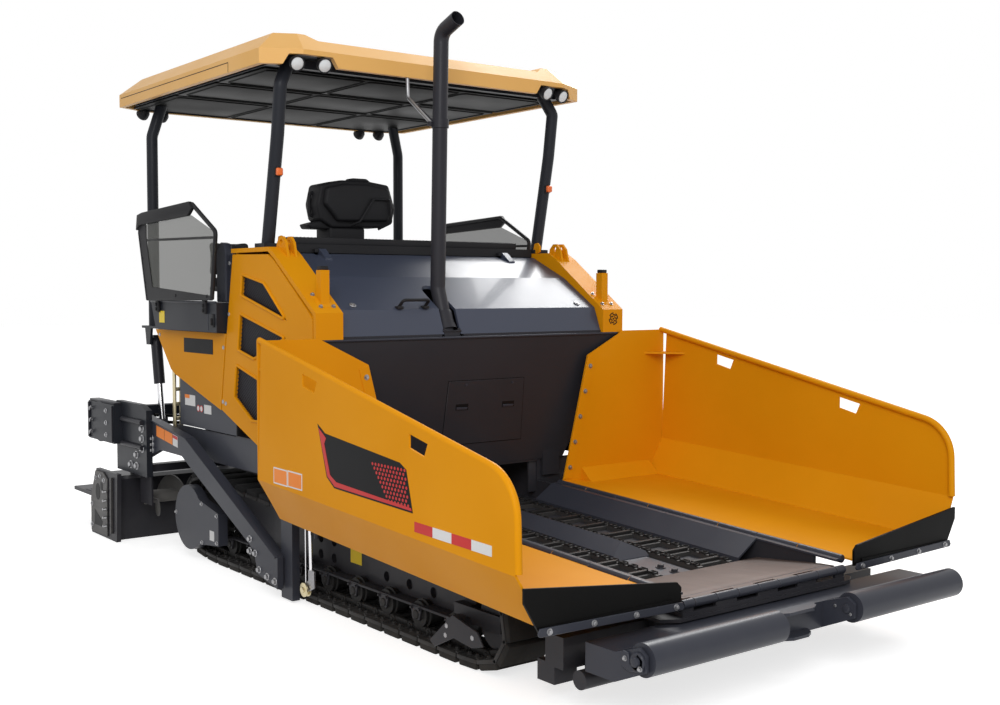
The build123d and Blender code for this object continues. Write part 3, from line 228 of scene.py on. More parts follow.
def bump_from(tree, shader, height, strength, distance):
    """Feeds a height to the shader's normal."""
    bump = add_node(tree, "Bump", Strength=strength, Distance=distance)
    wire(tree, (height, bump.inputs["Height"]), (bump.outputs["Normal"], shader["Normal"]))


print("effects:", [g.name for g in bpy.data.node_groups])

# %% [markdown]
# Most of the machine is sprayed paint. One function mixes it: two close tones in soft blotches, dust low down, a
# fine orange-peel bump and a clear coat. The same function gives the golden body colour, the paler moulded roof,
# the slate blue of the hood and the near-black of the frame, because they differ only in these numbers. Bare steel
# adds bright streaks where something slides over it.

# %% Finishes
DUST_COLOUR = (0.3, 0.27, 0.23)
ROUGHER = 0.12


def finish(name, tone, second_tone, roughness, coat=0.0, metallic=0.0, grain_scale=500.0, grain_depth=0.02,
           dust_reach=1.2, dust_amount=0.25, blotch_scale=1.3, specular=0.28):
    """A sprayed, cast or moulded surface."""
    material, tree, shader = new_material(name, Metallic=metallic, Specular_IOR_Level=specular, Coat_Weight=coat,
                                          Coat_Roughness=0.08)
    tones = place_effect(tree, blotches, Scale=blotch_scale)
    film = place_effect(tree, dust, Reach=dust_reach, Amount=dust_amount)
    fine = place_effect(tree, grain, Scale=grain_scale)
    body_tone = mix_colours(tree, tones, tone, second_tone)
    rough = add_node(tree, "MapRange", To_Min=roughness, To_Max=roughness + ROUGHER)
    wire(tree, (mix_colours(tree, film, body_tone, DUST_COLOUR), shader["Base Color"]),
         (tones, rough.inputs["Value"]), (rough.outputs["Result"], shader["Roughness"]))
    bump_from(tree, shader, fine, 0.25, grain_depth * 0.01)
    return material


def scraped(name, tone, bright, roughness, metallic, along=1.5, across=40.0):
    """Bare steel, polished in streaks by what slides over it."""
    material = finish(name, tone, tone, roughness, metallic=metallic)
    tree = material.node_tree
    shader = tree.nodes["Principled BSDF"].inputs
    rub = place_effect(tree, streaks, Along=along, Across=across)
    tree.links.new(mix_colours(tree, rub, tone, bright), shader["Base Color"])
    bump_from(tree, shader, rub, 0.3, 0.001)
    return material


golden = finish("golden_paint", (0.74, 0.3, 0.006), (0.7, 0.276, 0.004), 0.36, coat=0.03, dust_reach=0.7,
                dust_amount=0.02, specular=0.04)
roof_gold = finish("roof_paint", (0.8, 0.455, 0.14), (0.77, 0.425, 0.12), 0.45, coat=0.05, dust_amount=0.0)
slate = finish("slate_paint", (0.03, 0.033, 0.046), (0.037, 0.04, 0.053), 0.34, coat=0.06, dust_amount=0.05,
               specular=0.16)
deep_slate = finish("deep_slate_paint", (0.017, 0.019, 0.025), (0.021, 0.023, 0.029), 0.36, coat=0.05,
                    dust_amount=0.02, specular=0.12)
hood_slate = finish("hood_paint", (0.044, 0.053, 0.082), (0.05, 0.059, 0.09), 0.3, coat=0.14, dust_amount=0.0)
charcoal = finish("charcoal_paint", (0.022, 0.022, 0.028), (0.027, 0.027, 0.033), 0.4, coat=0.05,
                  dust_amount=0.06, specular=0.16)
shoe_steel = finish("shoe_steel", (0.016, 0.016, 0.018), (0.026, 0.025, 0.025), 0.6, metallic=0.3,
                    grain_scale=160.0, grain_depth=0.15, dust_reach=0.9, dust_amount=0.12, blotch_scale=6.0)
shoe_rubber = finish("shoe_rubber", (0.012, 0.012, 0.013), (0.02, 0.02, 0.02), 0.8, grain_scale=220.0,
                     grain_depth=0.12, dust_reach=0.5, dust_amount=0.16, blotch_scale=8.0, specular=0.15)
flap_rubber = finish("flap_rubber", (0.003, 0.003, 0.003), (0.005, 0.005, 0.005), 0.45, grain_scale=250.0,
                     grain_depth=0.08, dust_amount=0.01, specular=0.06)
cast = finish("cast_iron", (0.1, 0.1, 0.1), (0.15, 0.145, 0.14), 0.7, metallic=0.4, grain_scale=120.0,
              grain_depth=0.2, blotch_scale=5.0)
moulded = finish("moulded_black", (0.014, 0.014, 0.016), (0.02, 0.02, 0.022), 0.48, grain_scale=900.0,
                 grain_depth=0.08, dust_amount=0.0, specular=0.16)
label_white = finish("label_white", (0.72, 0.72, 0.72), (0.68, 0.68, 0.68), 0.4, dust_amount=0.05)
label_red = finish("label_red", (0.55, 0.012, 0.012), (0.5, 0.01, 0.01), 0.3, dust_amount=0.03)
label_orange = finish("label_orange", (0.85, 0.24, 0.02), (0.82, 0.22, 0.02), 0.4, dust_amount=0.03)
label_yellow = finish("label_yellow", (0.85, 0.62, 0.02), (0.82, 0.58, 0.02), 0.4, dust_amount=0.03)
label_black = finish("label_black", (0.006, 0.006, 0.007), (0.008, 0.008, 0.009), 0.4, dust_amount=0.0,
                     specular=0.08)
worn_steel = scraped("worn_steel", (0.045, 0.044, 0.046), (0.1, 0.096, 0.092), 0.46, 0.5)
apron_steel = scraped("apron_steel", (0.05, 0.032, 0.025), (0.1, 0.072, 0.062), 0.5, 0.3, 3.0, 26.0)
chrome = scraped("rod_chrome", (0.7, 0.7, 0.72), (0.8, 0.8, 0.82), 0.1, 1.0, 60.0, 6.0)
zinc = scraped("zinc_plate", (0.55, 0.48, 0.3), (0.7, 0.62, 0.4), 0.32, 0.9, 30.0, 30.0)
chain_steel = finish("chain_steel", (0.014, 0.014, 0.015), (0.026, 0.025, 0.025), 0.5, metallic=0.3,
                     grain_scale=180.0, grain_depth=0.1, dust_reach=0.9, dust_amount=0.05, blotch_scale=8.0,
                     specular=0.15)
amber = finish("amber_lens", (0.85, 0.16, 0.01), (0.8, 0.13, 0.01), 0.15, coat=0.5, dust_amount=0.0)
seat_cloth = finish("seat_cloth", (0.02, 0.02, 0.022), (0.03, 0.03, 0.032), 0.85, grain_scale=700.0,
                    grain_depth=0.2, dust_amount=0.0)
lamp_glass = finish("lamp_glass", (0.75, 0.78, 0.8), (0.7, 0.73, 0.75), 0.08, coat=0.6, dust_amount=0.0)
bolt_steel = scraped("bolt_steel", (0.22, 0.22, 0.23), (0.42, 0.42, 0.43), 0.35, 0.9, 60.0, 60.0)
smoked = finish("smoked_panel", (0.045, 0.048, 0.036), (0.06, 0.062, 0.05), 0.12, dust_amount=0.0)
smoked.node_tree.nodes["Principled BSDF"].inputs["Alpha"].default_value = 0.55
print("finishes:", len(bpy.data.materials) - 1)

# %% [markdown]
# The record gives each solid a material slot, and each slot wears one finish. A few solids differ from their slot:
# the hood is bluer, and the platform, the screed's frame and the canopy's frame are darker.

# %% Finishes on the solids
wearing = {
    "yellow_paint": golden, "canopy_paint": roof_gold, "slate_paint": slate, "dark_paint": charcoal,
    "track_steel": shoe_steel, "worn_steel": worn_steel, "bare_steel": apron_steel, "rubber": flap_rubber,
    "cast_iron": cast, "smoked_panel": smoked, "moulded_black": moulded, "chrome": chrome,
}
own_finish = {"hood": hood_slate, "bay_wall": moulded, "rear_tank": slate, "platform": deep_slate,
              "screed_frame": deep_slate, "canopy_frame": deep_slate}
node_slot = {row["node"]: row["material_slot"] for row in frame["record"]["subparts"]}
for node_name, node in nodes.items():
    for place in node.material_slots:
        place.material = wearing[node_slot[node_name]]
    if node_name in own_finish:
        node.material_slots[0].material = own_finish[node_name]

slot_of = {material.name: slot for slot, material in wearing.items()}
for slot, others in (("worn_steel", (bolt_steel, zinc)), ("track_steel", (chain_steel, shoe_rubber)),
                     ("moulded_black", (seat_cloth,))):
    slot_of.update((material.name, slot) for material in others)
print("finishes:", len(wearing), "on", len(nodes), "solids")

# %% [markdown]
# New pieces are made with a small set of tools on top of the mesh operators: a rounded box, a round bar, a bolt, a
# flat plate from an outline, a bent tube and a turned piece. A piece keeps its place in its mesh, and its object
# stays at the origin, so that the patterns of its finish lie still. Pieces that come in pairs are drawn on the left
# and mirrored across the machine's middle plane.


# %% Tools for new pieces
def new_meshes(count):
    """As many empty meshes as there are pieces to build side by side."""
    return [bmesh.new() for _ in range(count)]


def verts_of(made):
    """The points among what an operator made."""
    return [item for item in made["geom"] if isinstance(item, bmesh.types.BMVert)]


def piece(name, mesh, material, body="tractor", slot=None, mirrored=False, smooth=35):
    """Makes an object of a finished mesh, with its finish, and lets it ride on a body."""
    if mirrored:
        geometry = mesh.verts[:] + mesh.edges[:] + mesh.faces[:]
        copied = bmesh.ops.duplicate(mesh, geom=geometry)
        bmesh.ops.scale(mesh, verts=verts_of(copied), vec=(1, -1, 1))
    bmesh.ops.recalc_face_normals(mesh, faces=mesh.faces)
    data = bpy.data.meshes.new(name)
    mesh.to_mesh(data)
    mesh.free()
    data.shade_smooth()
    data.set_sharp_from_angle(angle=math.radians(smooth))
    data.materials.append(material)
    made = bpy.data.objects.new(name, data)
    scene.collection.objects.link(made)
    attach(made, body)
    slot = slot or slot_of.get(material.name)
    return made


def pieces(*rows, mirrored=True, body="tractor"):
    """Makes a piece of each row of name, mesh and finish. A fourth value is a slot that differs from the finish's; it
    is not used.
    """
    for name, mesh, material, *slot in rows:
        piece(name, mesh, material, body, *slot, mirrored=mirrored)


def turned_to(way):
    """The turn that takes the Z axis to a direction."""
    return Vector(way).to_track_quat("Z", "Y").to_matrix().to_4x4()


def round_edges(mesh, edges, offset, segments=1):
    """Rounds edges, or chamfers them when there is one segment."""
    bmesh.ops.bevel(mesh, geom=list(edges), offset=offset, segments=segments, affect="EDGES", profile=0.5,
                    material=-1)


def box_at(mesh, low, high, bevel=0.004, segments=2, turn=Matrix(), spot=Matrix()):
    """Adds a box between two corners of a place, with rounded edges, and turns it about its middle."""
    size = Vector(high) - Vector(low)
    middle = (Vector(high) + Vector(low)) / 2
    place = spot @ Matrix.Translation(middle) @ turn @ Matrix.Diagonal((*size, 1))
    made = bmesh.ops.create_cube(mesh, size=1, matrix=place)
    round_edges(mesh, {edge for vert in made["verts"] for edge in vert.link_edges}, bevel, segments)


def disc(mesh, place, radius, depth, segments, far_radius=None):
    """Adds a disc or a cone with its middle at a place."""
    return bmesh.ops.create_cone(mesh, cap_ends=True, segments=segments, radius1=radius,
                                 radius2=far_radius or radius, depth=depth, matrix=place)


def rod(mesh, start, end, radius, segments=20, chamfer=0.002):
    """Adds a round bar between two points, with chamfered ends."""
    run = Vector(end) - Vector(start)
    place = Matrix.Translation((Vector(start) + Vector(end)) / 2) @ turned_to(run)
    made = disc(mesh, place, radius, run.length, segments)
    ends = {face for vert in made["verts"] for face in vert.link_faces if len(face.verts) > 4}
    round_edges(mesh, {edge for face in ends for edge in face.edges}, chamfer)


def bolt(mesh, place, way, across=0.024, tall=0.01):
    """Adds a washer with a hexagon head on it, chamfered at the top."""
    spot = Matrix.Translation(place) @ turned_to(way)
    for low, depth, segments, first, last in ((0, 0.003, 14, 0.85, 0.8), (0.003, tall * 0.75, 6, 0.57, 0.57),
                                              (0.003 + tall * 0.75, tall * 0.25, 6, 0.57, 0.46)):
        height = Matrix.Translation((0, 0, low + depth / 2))
        disc(mesh, spot @ height, across * first, depth, segments, across * last)


def side_bolts(mesh, y, spots, across=0.024, tall=0.01):
    """Adds bolts at (forwards, up) spots on a face that looks to the left."""
    for x, z in spots:
        bolt(mesh, (x, y, z), (0, 1, 0), across, tall)


def on_side(y, facing=1):
    """The place of a plate whose outline is (forwards, up), drawn at y, and which grows towards +Y or -Y."""
    return Matrix(((1, 0, 0, 0), (0, 0, facing, y), (0, 1, 0, 0), (0, 0, 0, 1)))


def across_at(x):
    """The place of a plate whose outline is (to the left, up), drawn at x, and which grows forwards."""
    return Matrix(((0, 0, 1, x), (1, 0, 0, 0), (0, 1, 0, 0), (0, 0, 0, 1)))


def oblong(low, high):
    """The outline of a rectangle between two corners."""
    return [low, (high[0], low[1]), high, (low[0], high[1])]


def slab(mesh, outline, thickness, place, bevel=0.0, segments=1):
    """Adds a flat plate: its outline is filled, extruded, and its edges rounded."""
    corners = [mesh.verts.new(place @ Vector((u, v, 0))) for u, v in outline]
    moved = verts_of(bmesh.ops.extrude_face_region(mesh, geom=[mesh.faces.new(corners)]))
    bmesh.ops.translate(mesh, verts=moved, vec=place.to_3x3() @ Vector((0, 0, thickness)))
    if bevel:
        round_edges(mesh, {edge for vert in moved + corners for edge in vert.link_edges}, bevel, segments)


def bent_tube(mesh, points, radius, bend=0.05, segments=14, steps=6):
    """Adds a round tube: its end face is extruded along each straight run and spun round each bend."""
    points = [Vector(point) for point in points]
    here = points[0]
    way = (points[1] - here).normalized()
    ring = bmesh.ops.create_circle(mesh, cap_ends=True, radius=radius, segments=segments,
                                   matrix=Matrix.Translation(here) @ turned_to(way))
    end_face = ring["verts"][0].link_faces[0]
    for index in range(1, len(points)):
        corner = points[index]
        turn = 0.0
        if index < len(points) - 1:
            next_way = (points[index + 1] - corner).normalized()
            turn = way.angle(next_way)
        stop = corner - way * bend * math.tan(turn / 2)
        made = bmesh.ops.extrude_face_region(mesh, geom=[end_face])
        end_face = next(item for item in made["geom"] if isinstance(item, bmesh.types.BMFace))
        bmesh.ops.translate(mesh, verts=verts_of(made), vec=stop - here)
        if turn:
            axis = way.cross(next_way).normalized()
            spun = bmesh.ops.spin(mesh, geom=[end_face], cent=stop + axis.cross(way) * bend, axis=axis, angle=turn,
                                  steps=steps)
            end_face = next(item for item in spun["geom_last"] if isinstance(item, bmesh.types.BMFace))
            here = corner + next_way * bend * math.tan(turn / 2)
            way = next_way


def turned_piece(mesh, profile, start, way, segments=28):
    """Adds a turned piece: the profile is (distance along the axis, radius) and is spun once round the axis."""
    spot = Matrix.Translation(start) @ turned_to(way)
    rim = [mesh.verts.new(spot @ Vector((radius, 0, along))) for along, radius in profile]
    rim += [mesh.edges.new(pair) for pair in zip(rim, rim[1:])]
    bmesh.ops.spin(mesh, geom=rim, cent=start, axis=way, angle=math.tau, steps=segments, use_merge=True)
    bmesh.ops.remove_doubles(mesh, verts=mesh.verts, dist=0.00002)


LEFTWARDS = (0, 1, 0)
print("tools ready")

# %% [markdown]
# The tracks. The shoes run round the sprocket at the rear and the idler at the front, and lie flat on the ground
# between. The loop is worked out from those circles; a shoe reaches from one spot on it to the next. Each shoe is
# a steel plate with a rubber pad outside, and two rows of chain links inside, joined by pins.

# %% Track loop
SPROCKET = (-1.34, 0.345, 0.325)       # x, z, radius outside the pads
IDLER = (2.2, 0.262, 0.25)
GROUND_REAR = (-1.14, 0.0, 0.0)
GROUND_FRONT = (2.08, 0.0, 0.0)
SHOE_PITCH = 0.19
ARC_STEPS = 40


def tangent_way(first, second):
    """Angle of the outward normal where a loop runs straight from one circle to the next."""
    gap = math.hypot(second[0] - first[0], second[1] - first[1])
    return math.atan2(second[1] - first[1], second[0] - first[0]) - math.acos((first[2] - second[2]) / gap)


def loop_spots(circles, pitch):
    """Evenly spaced (x, z) spots round a loop about the circles."""
    corners = []
    for before, here, after in zip(circles[-1:] + circles[:-1], circles, circles[1:] + circles[:1]):
        first = tangent_way(before, here)
        sweep = (tangent_way(here, after) - first) % math.tau
        for step in range(ARC_STEPS + 1):
            angle = first + sweep * step / ARC_STEPS
            corners.append(Vector((here[0] + here[2] * math.cos(angle), here[1] + here[2] * math.sin(angle))))
    runs = list(zip(corners, corners[1:] + corners[:1]))
    total = sum((end - start).length for start, end in runs)
    count = round(total / pitch)
    spots, walked, wanted = [], 0.0, 0.0
    for start, end in runs:
        length = (end - start).length
        while len(spots) < count and wanted <= walked + length and length > 0:
            spots.append(start.lerp(end, (wanted - walked) / length))
            wanted += total / count
        walked += length
    return spots


track_spots = loop_spots([SPROCKET, GROUND_REAR, GROUND_FRONT, IDLER], SHOE_PITCH)
print("shoes on each side:", len(track_spots))

# %% [markdown]
# One shoe's parts are drawn in the shoe's own place: along the track, across it, and out of it. The same few
# numbers then make every shoe, wherever it stands on the loop.

# %% Track shoes
SHOE_INNER, SHOE_OUTER = 0.93, 1.25   # y
LINK_Y = (1.018, 1.152)
PAD_DEEP = 0.042
PLATE_DEEP = 0.06
LINK_DEEP = 0.098
PIN_DEEP = 0.078
for side, name in SIDES:
    pads, shoes, chain = new_meshes(3)
    for start, end in zip(track_spots, track_spots[1:] + track_spots[:1]):
        way = Vector((end.x - start.x, 0, end.y - start.y))
        out = Vector((way.z, 0, -way.x)).normalized()
        turn = Matrix((way.normalized(), side * Vector((0, 1, 0)), out)).transposed().to_4x4()
        middle = Vector(((start.x + end.x) / 2, 0, (start.y + end.y) / 2))
        spot = Matrix.Translation(middle) @ turn
        half = way.length / 2 - 0.006
        pin = -half - 0.004
        box_at(pads, (-half + 0.01, SHOE_INNER + 0.008, -PAD_DEEP), (half - 0.01, SHOE_OUTER - 0.004, 0), 0.01,
               spot=spot)
        box_at(shoes, (-half, SHOE_INNER, -PLATE_DEEP), (half, SHOE_OUTER, 0.006 - PAD_DEEP), spot=spot)
        box_at(shoes, (half - 0.016, SHOE_INNER + 0.01, -0.008 - PLATE_DEEP),
               (half + 0.008, SHOE_OUTER - 0.01, 0.01 - PLATE_DEEP), spot=spot)
        for link_y in LINK_Y:
            box_at(chain, (-half - 0.018, link_y - 0.015, -LINK_DEEP), (half - 0.03, link_y + 0.015, -PLATE_DEEP),
                   0.008, spot=spot)
            rod(chain, spot @ Vector((pin, link_y - 0.024, -PIN_DEEP)),
                spot @ Vector((pin, link_y + 0.024, -PIN_DEEP)), 0.026, 14, 0.004)
        rod(chain, spot @ Vector((pin, LINK_Y[0] - 0.03, -PIN_DEEP)),
            spot @ Vector((pin, LINK_Y[1] + 0.03, -PIN_DEEP)), 0.014, 12)
        for along in (-0.035, 0.035):
            for bolt_y in (LINK_Y[0] - 0.045, LINK_Y[1] + 0.045):
                bolt(shoes, spot @ Vector((along, bolt_y, -PLATE_DEEP)), -out, 0.022, 0.012)
    pieces((f"track_pads_{name}", pads, shoe_rubber), (f"track_chain_{name}", chain, chain_steel), mirrored=False)
    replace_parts(piece(f"track_shoes_{name}", shoes, shoe_steel), f"track_{name}")
print("links on each side:", 2 * len(track_spots))

# %% [markdown]
# Between the shoes and the track frame run the bottom rollers, with flanges and end caps. The frame's side carries
# a bracket over each roller, and the sprocket's teeth stand between the chain links.

# %% Running gear
ROLLER_X = [-0.94 + 0.34875 * index for index in range(9)]
ROLLER_AXLE_Z = 0.1653
TOOTH_COUNT = 19
rollers, brackets, teeth = new_meshes(3)
half_profile = [(0.0, 0.076), (0.045, 0.076), (0.048, 0.086), (0.06, 0.088), (0.064, 0.077), (0.086, 0.077),
                (0.088, 0.042), (0.094, 0.036), (0.094, 0.0)]
profile = [(-along, radius) for along, radius in half_profile[:0:-1]] + half_profile
for x in ROLLER_X:
    turned_piece(rollers, profile, (x, 1.085, ROLLER_AXLE_Z), LEFTWARDS)
    rod(rollers, (x, 1.17, ROLLER_AXLE_Z), (x, 1.2, ROLLER_AXLE_Z), 0.028, chamfer=0.005)
    slab(brackets, [(x - 0.055, 0.215), (x - 0.036, 0.135), (x + 0.036, 0.135), (x + 0.055, 0.215)], 0.012,
         on_side(1.181), 0.003)
    side_bolts(brackets, 1.193, ((x - 0.04, 0.203), (x + 0.04, 0.203)), 0.016)
box_at(brackets, (-1.02, 1.092, 0.206), (1.94, 1.19, 0.222))
for tooth in range(TOOTH_COUNT):
    turn = math.tau * tooth / TOOTH_COUNT
    shape = ((0.225, -0.1), (0.262, -0.045), (0.268, 0.0), (0.262, 0.045), (0.225, 0.1))
    slab(teeth, [(SPROCKET[0] + reach * math.cos(turn + lean), SPROCKET[1] + reach * math.sin(turn + lean))
                 for reach, lean in shape], 0.03, on_side(1.07), 0.003)
pieces(("track_rollers", rollers, chain_steel), ("roller_brackets", brackets, charcoal),
       ("sprocket_teeth", teeth, chain_steel))
print("rollers:", 2 * len(ROLLER_X), "teeth:", 2 * TOOTH_COUNT)

# %% [markdown]
# The augers spread the material in front of the screed. Each flight is a helix: a straight edge from the shaft to
# the rim is turned about the shaft while it moves along it, and the sheet gets its thickness afterwards.

# %% Augers
AUGER_X, AUGER_Z = -2.13, 0.37
AUGER_RIM = 0.165
AUGER_PITCH = 0.25
AUGER_TURNS = 5.0
AUGER_SHAFT = [(0.051, 0.027), (0.051, 0.06), (0.075, 0.06), (0.078, 0.052), (1.34, 0.052), (1.344, 0.058),
               (1.366, 0.058), (1.366, 0.027), (0.051, 0.027)]
steps = int(AUGER_TURNS * 28)
for side, name in SIDES:
    auger = bmesh.new()
    inner = auger.verts.new((AUGER_X + 0.048, side * 0.075, AUGER_Z))
    outer = auger.verts.new((AUGER_X + AUGER_RIM - 0.002, side * 0.075, AUGER_Z))
    bmesh.ops.spin(auger, geom=[inner, outer, auger.edges.new((inner, outer))], cent=(AUGER_X, 0, AUGER_Z),
                   axis=(0, side, 0), dvec=(0, side * AUGER_TURNS * AUGER_PITCH / steps, 0),
                   angle=math.tau * AUGER_TURNS, steps=steps)
    bmesh.ops.solidify(auger, geom=auger.faces[:], thickness=0.012)
    turned_piece(auger, AUGER_SHAFT, (AUGER_X, 0, AUGER_Z), (0, side, 0))
    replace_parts(piece(f"auger_flight_{name}", auger, cast, f"auger_{name}"), f"auger_{name}")
print("turns of each auger:", AUGER_TURNS)

# %% [markdown]
# Beside the track frame, just ahead of the tow arm's guide, a levelling rod runs down to a small pulley. A guard
# plate with bolts covers the front end of the track, and a blank plate sits on the frame's side.

# %% Track side
pulley, rods, guard, guard_bolts, plate = new_meshes(5)
turned_piece(pulley, [(0.0, 0.046), (0.006, 0.046), (0.01, 0.032), (0.022, 0.032), (0.026, 0.046), (0.032, 0.046),
                      (0.036, 0.02), (0.046, 0.018), (0.046, 0.0)], (0.417, 1.298, 0.113), LEFTWARDS)
rod(rods, (0.47, 1.3, 0.19), (0.455, 1.3, 0.56), 0.013)
rod(rods, (0.415, 1.31, 0.15), (0.41, 1.31, 0.7), 0.004)
slab(guard_bolts, [(0.4, 0.08), (0.52, 0.14), (0.52, 0.25), (0.45, 0.25), (0.45, 0.18), (0.39, 0.14)],
     0.02, on_side(1.294), 0.004)
slab(guard, [(1.752, 0.09), (1.97, 0.279), (2.194, 0.232), (2.247, 0.163), (2.142, 0.132), (1.979, 0.15),
             (1.8, 0.06)], 0.012, on_side(1.262), 0.003)
box_at(guard, (1.88, 1.105, 0.17), (1.99, 1.252, 0.25), 0.008)
side_bolts(guard_bolts, 1.262, ((1.915, 0.205), (1.905, 0.15), (2.15, 0.19)), 0.03)
slab(plate, oblong((0.631, 0.304), (0.764, 0.39)), 0.0012, on_side(1.1013))
pieces(("level_pulleys", pulley, zinc), ("level_rods", rods, chrome), ("track_guards", guard, charcoal),
       ("track_guard_bolts", guard_bolts, bolt_steel), ("frame_labels", plate, label_yellow))
print("track side done")

# %% [markdown]
# The front end. The push rollers turn between bracket plates with hooked locks on their axles. The hinges of the
# apron and of the wings are rows of steel knuckles: every other one is the machine's, and the rest move. Each
# wing's rubber flap is clamped under a bolted strip.

# %% Front end
ROLLER_AXLE_X, ROLLER_AXLE_HIGH = 3.395, 0.372
HINGE_START = Vector((0.612, 0.69, 0.644))
HINGE_END = Vector((3.06, 0.69, 0.52))
APRON_PIN = (3.084, 0.471)              # x, z
APRON_HALF = 0.66
KNUCKLES = 8
SLEEVE_R = 0.024
locks, lock_bolts, fixed, moving = new_meshes(4)
for y, way in ((1.27, 1), (0.29, -1)):
    turned_piece(locks, [(0.0, 0.044), (0.01, 0.044), (0.014, 0.04), (0.014, 0.024), (0.03, 0.022),
                         (0.032, 0.018), (0.032, 0.0)], (ROLLER_AXLE_X, y, ROLLER_AXLE_HIGH), (0, way, 0))
    slab(locks, [(3.3, 0.33), (3.345, 0.316), (3.43, 0.33), (3.436, 0.385), (3.4, 0.412), (3.385, 0.385),
                 (3.4, 0.36), (3.35, 0.352), (3.34, 0.4), (3.3, 0.405)], 0.014, on_side(y, way), 0.003)
    for x, z in ((3.322, 0.372), (3.418, 0.345)):
        bolt(lock_bolts, (x, y + way * 0.013, z), (0, way, 0), 0.016)
box_at(locks, (3.232, 1.1, 0.25), (3.252, 1.262, 0.366))
pieces(("roller_locks", locks, slate), ("roller_lock_bolts", lock_bolts, bolt_steel), body="push_beam")


def knuckle_row(mesh, start, end, wanted):
    """Adds the sleeves with the wanted numbers along a hinge, with a small gap at each end."""
    ease = (end - start).normalized() * 0.001
    for index in wanted:
        first, last = start.lerp(end, index / KNUCKLES), start.lerp(end, (index + 1) / KNUCKLES)
        rod(mesh, first + ease, last - ease, SLEEVE_R, 24, 0.003)


for flip in ((1, 1, 1), (1, -1, 1)):
    knuckle_row(fixed, HINGE_START * Vector(flip), HINGE_END * Vector(flip), range(0, KNUCKLES, 2))
half_knuckle = Vector((0, APRON_HALF / KNUCKLES, 0))
apron_start = Vector((APRON_PIN[0], -APRON_HALF, APRON_PIN[1]))
apron_end = Vector((APRON_PIN[0], APRON_HALF, APRON_PIN[1]))
knuckle_row(fixed, apron_start - half_knuckle, apron_end - half_knuckle, range(2, KNUCKLES, 2))
rod(fixed, apron_start, apron_start + half_knuckle * 0.95, SLEEVE_R, 24)
rod(fixed, apron_end - half_knuckle * 0.95, apron_end, SLEEVE_R, 24)
knuckle_row(moving, apron_start - half_knuckle, apron_end - half_knuckle, range(1, KNUCKLES + 1, 2))
box_at(moving, (3.02, -0.6, 0.486), (3.054, 0.6, 0.4905), 0.001)
piece("fixed_knuckles", fixed, slate)
piece("apron_knuckles", moving, slate, "apron")
for side, name in SIDES:
    knuckles, clamp, clamp_bolts = new_meshes(3)
    flip = Vector((1, side, 1))
    knuckle_row(knuckles, HINGE_START * flip, HINGE_END * flip, range(1, KNUCKLES, 2))
    slab(clamp, [(side * y, z) for y, z in ((0.7, 0.478), (0.712, 0.466), (1.64, 0.486), (1.652, 0.5),
                                            (1.64, 0.526), (0.712, 0.506))], 0.01, across_at(3.1345), 0.002)
    for y in (0.76, 1.035, 1.31, 1.585):
        bolt(clamp_bolts, (3.1445, side * y, 0.4865 + (y - 0.7) * 0.021), (1, 0, 0), 0.02)
    pieces((f"wing_knuckles_{name}", knuckles, slate), (f"flap_strip_{name}", clamp, slate),
           (f"flap_bolts_{name}", clamp_bolts, bolt_steel), mirrored=False, body=f"wing_{name}")
print("knuckles:", 3 * KNUCKLES + 1)

# %% [markdown]
# The hopper's wings. Each wing's rear wall ends in a bolted strip. Outside, the wing carries a reflecting band, two
# plates and a painted panel, and everything printed is left blank. Thin layers stand one on the other, so that none
# flickers through the next.

# %% Hopper wings
WING_FACE = 1.7502                      # y
BAND_STEP = 0.157
DOT_ROWS = 9
for side, name in SIDES:
    strip, bolts, band_red, band_white, label_edge, label, panel, panel_trim = new_meshes(8)
    slab(strip, [(side * y, z) for y, z in ((0.722, 0.668), (0.8, 0.668), (1.03, 1.545), (0.958, 1.568))],
         0.006, across_at(0.6245), 0.0015)
    for share in (0.08, 0.29, 0.5, 0.71, 0.92):
        bolt(bolts, (0.6305, side * (0.762 + 0.232 * share), 0.68 + 0.88 * share), (1, 0, 0), 0.022)
    for index in range(4):
        start, drop = 2.304 + BAND_STEP * index, 0.004 * index
        slab((band_red, band_white)[index % 2],
             [(start, 0.848 - drop), (start + 0.155, 0.844 - drop), (start + 0.155, 0.895 - drop),
              (start, 0.899 - drop)], 0.0015, on_side(side * WING_FACE, side))
    for start in (0.82, 0.995):
        slab(label_edge, [(start, 0.902), (start + 0.17, 0.9), (start + 0.17, 0.998), (start, 1.0)], 0.0012,
             on_side(side * WING_FACE, side))
        slab(label, [(start + 0.008, 0.91), (start + 0.162, 0.908), (start + 0.162, 0.99),
                     (start + 0.008, 0.992)], 0.001, on_side(side * 1.7512, side))
    slab(panel, [(1.346, 1.304), (1.428, 1.258), (2.174, 1.18), (2.232, 1.15), (2.29, 0.938), (1.525, 0.964),
                 (1.444, 1.016)], 0.0012, on_side(side * WING_FACE, side))
    slab(panel_trim, [(1.357, 1.284), (1.44, 1.232), (1.42, 1.2), (1.482, 1.032), (1.548, 1.0),
                      (2.276, 0.962), (2.281, 0.948), (1.531, 0.973), (1.451, 1.022)], 0.001,
         on_side(side * 1.7513, side))
    for row in range(DOT_ROWS):
        for column in range(7 + row // 2):
            dot = (2.25 - 0.03 * column - 0.015 * (row % 2) - 0.004 * row, side * 1.7517, 0.97 + 0.022 * row)
            disc(panel_trim, Matrix.Translation(dot) @ turned_to(LEFTWARDS), 0.009, 0.0008, 6)
    pieces((f"wing_wall_strip_{name}", strip, golden), (f"wing_wall_bolts_{name}", bolts, bolt_steel),
           (f"wing_band_red_{name}", band_red, label_red), (f"wing_band_white_{name}", band_white, label_white),
           (f"wing_label_edge_{name}", label_edge, label_white), (f"wing_label_{name}", label, label_orange),
           (f"wing_decal_{name}", panel, label_black), (f"wing_decal_trim_{name}", panel_trim, label_red),
           mirrored=False, body=f"wing_{name}")
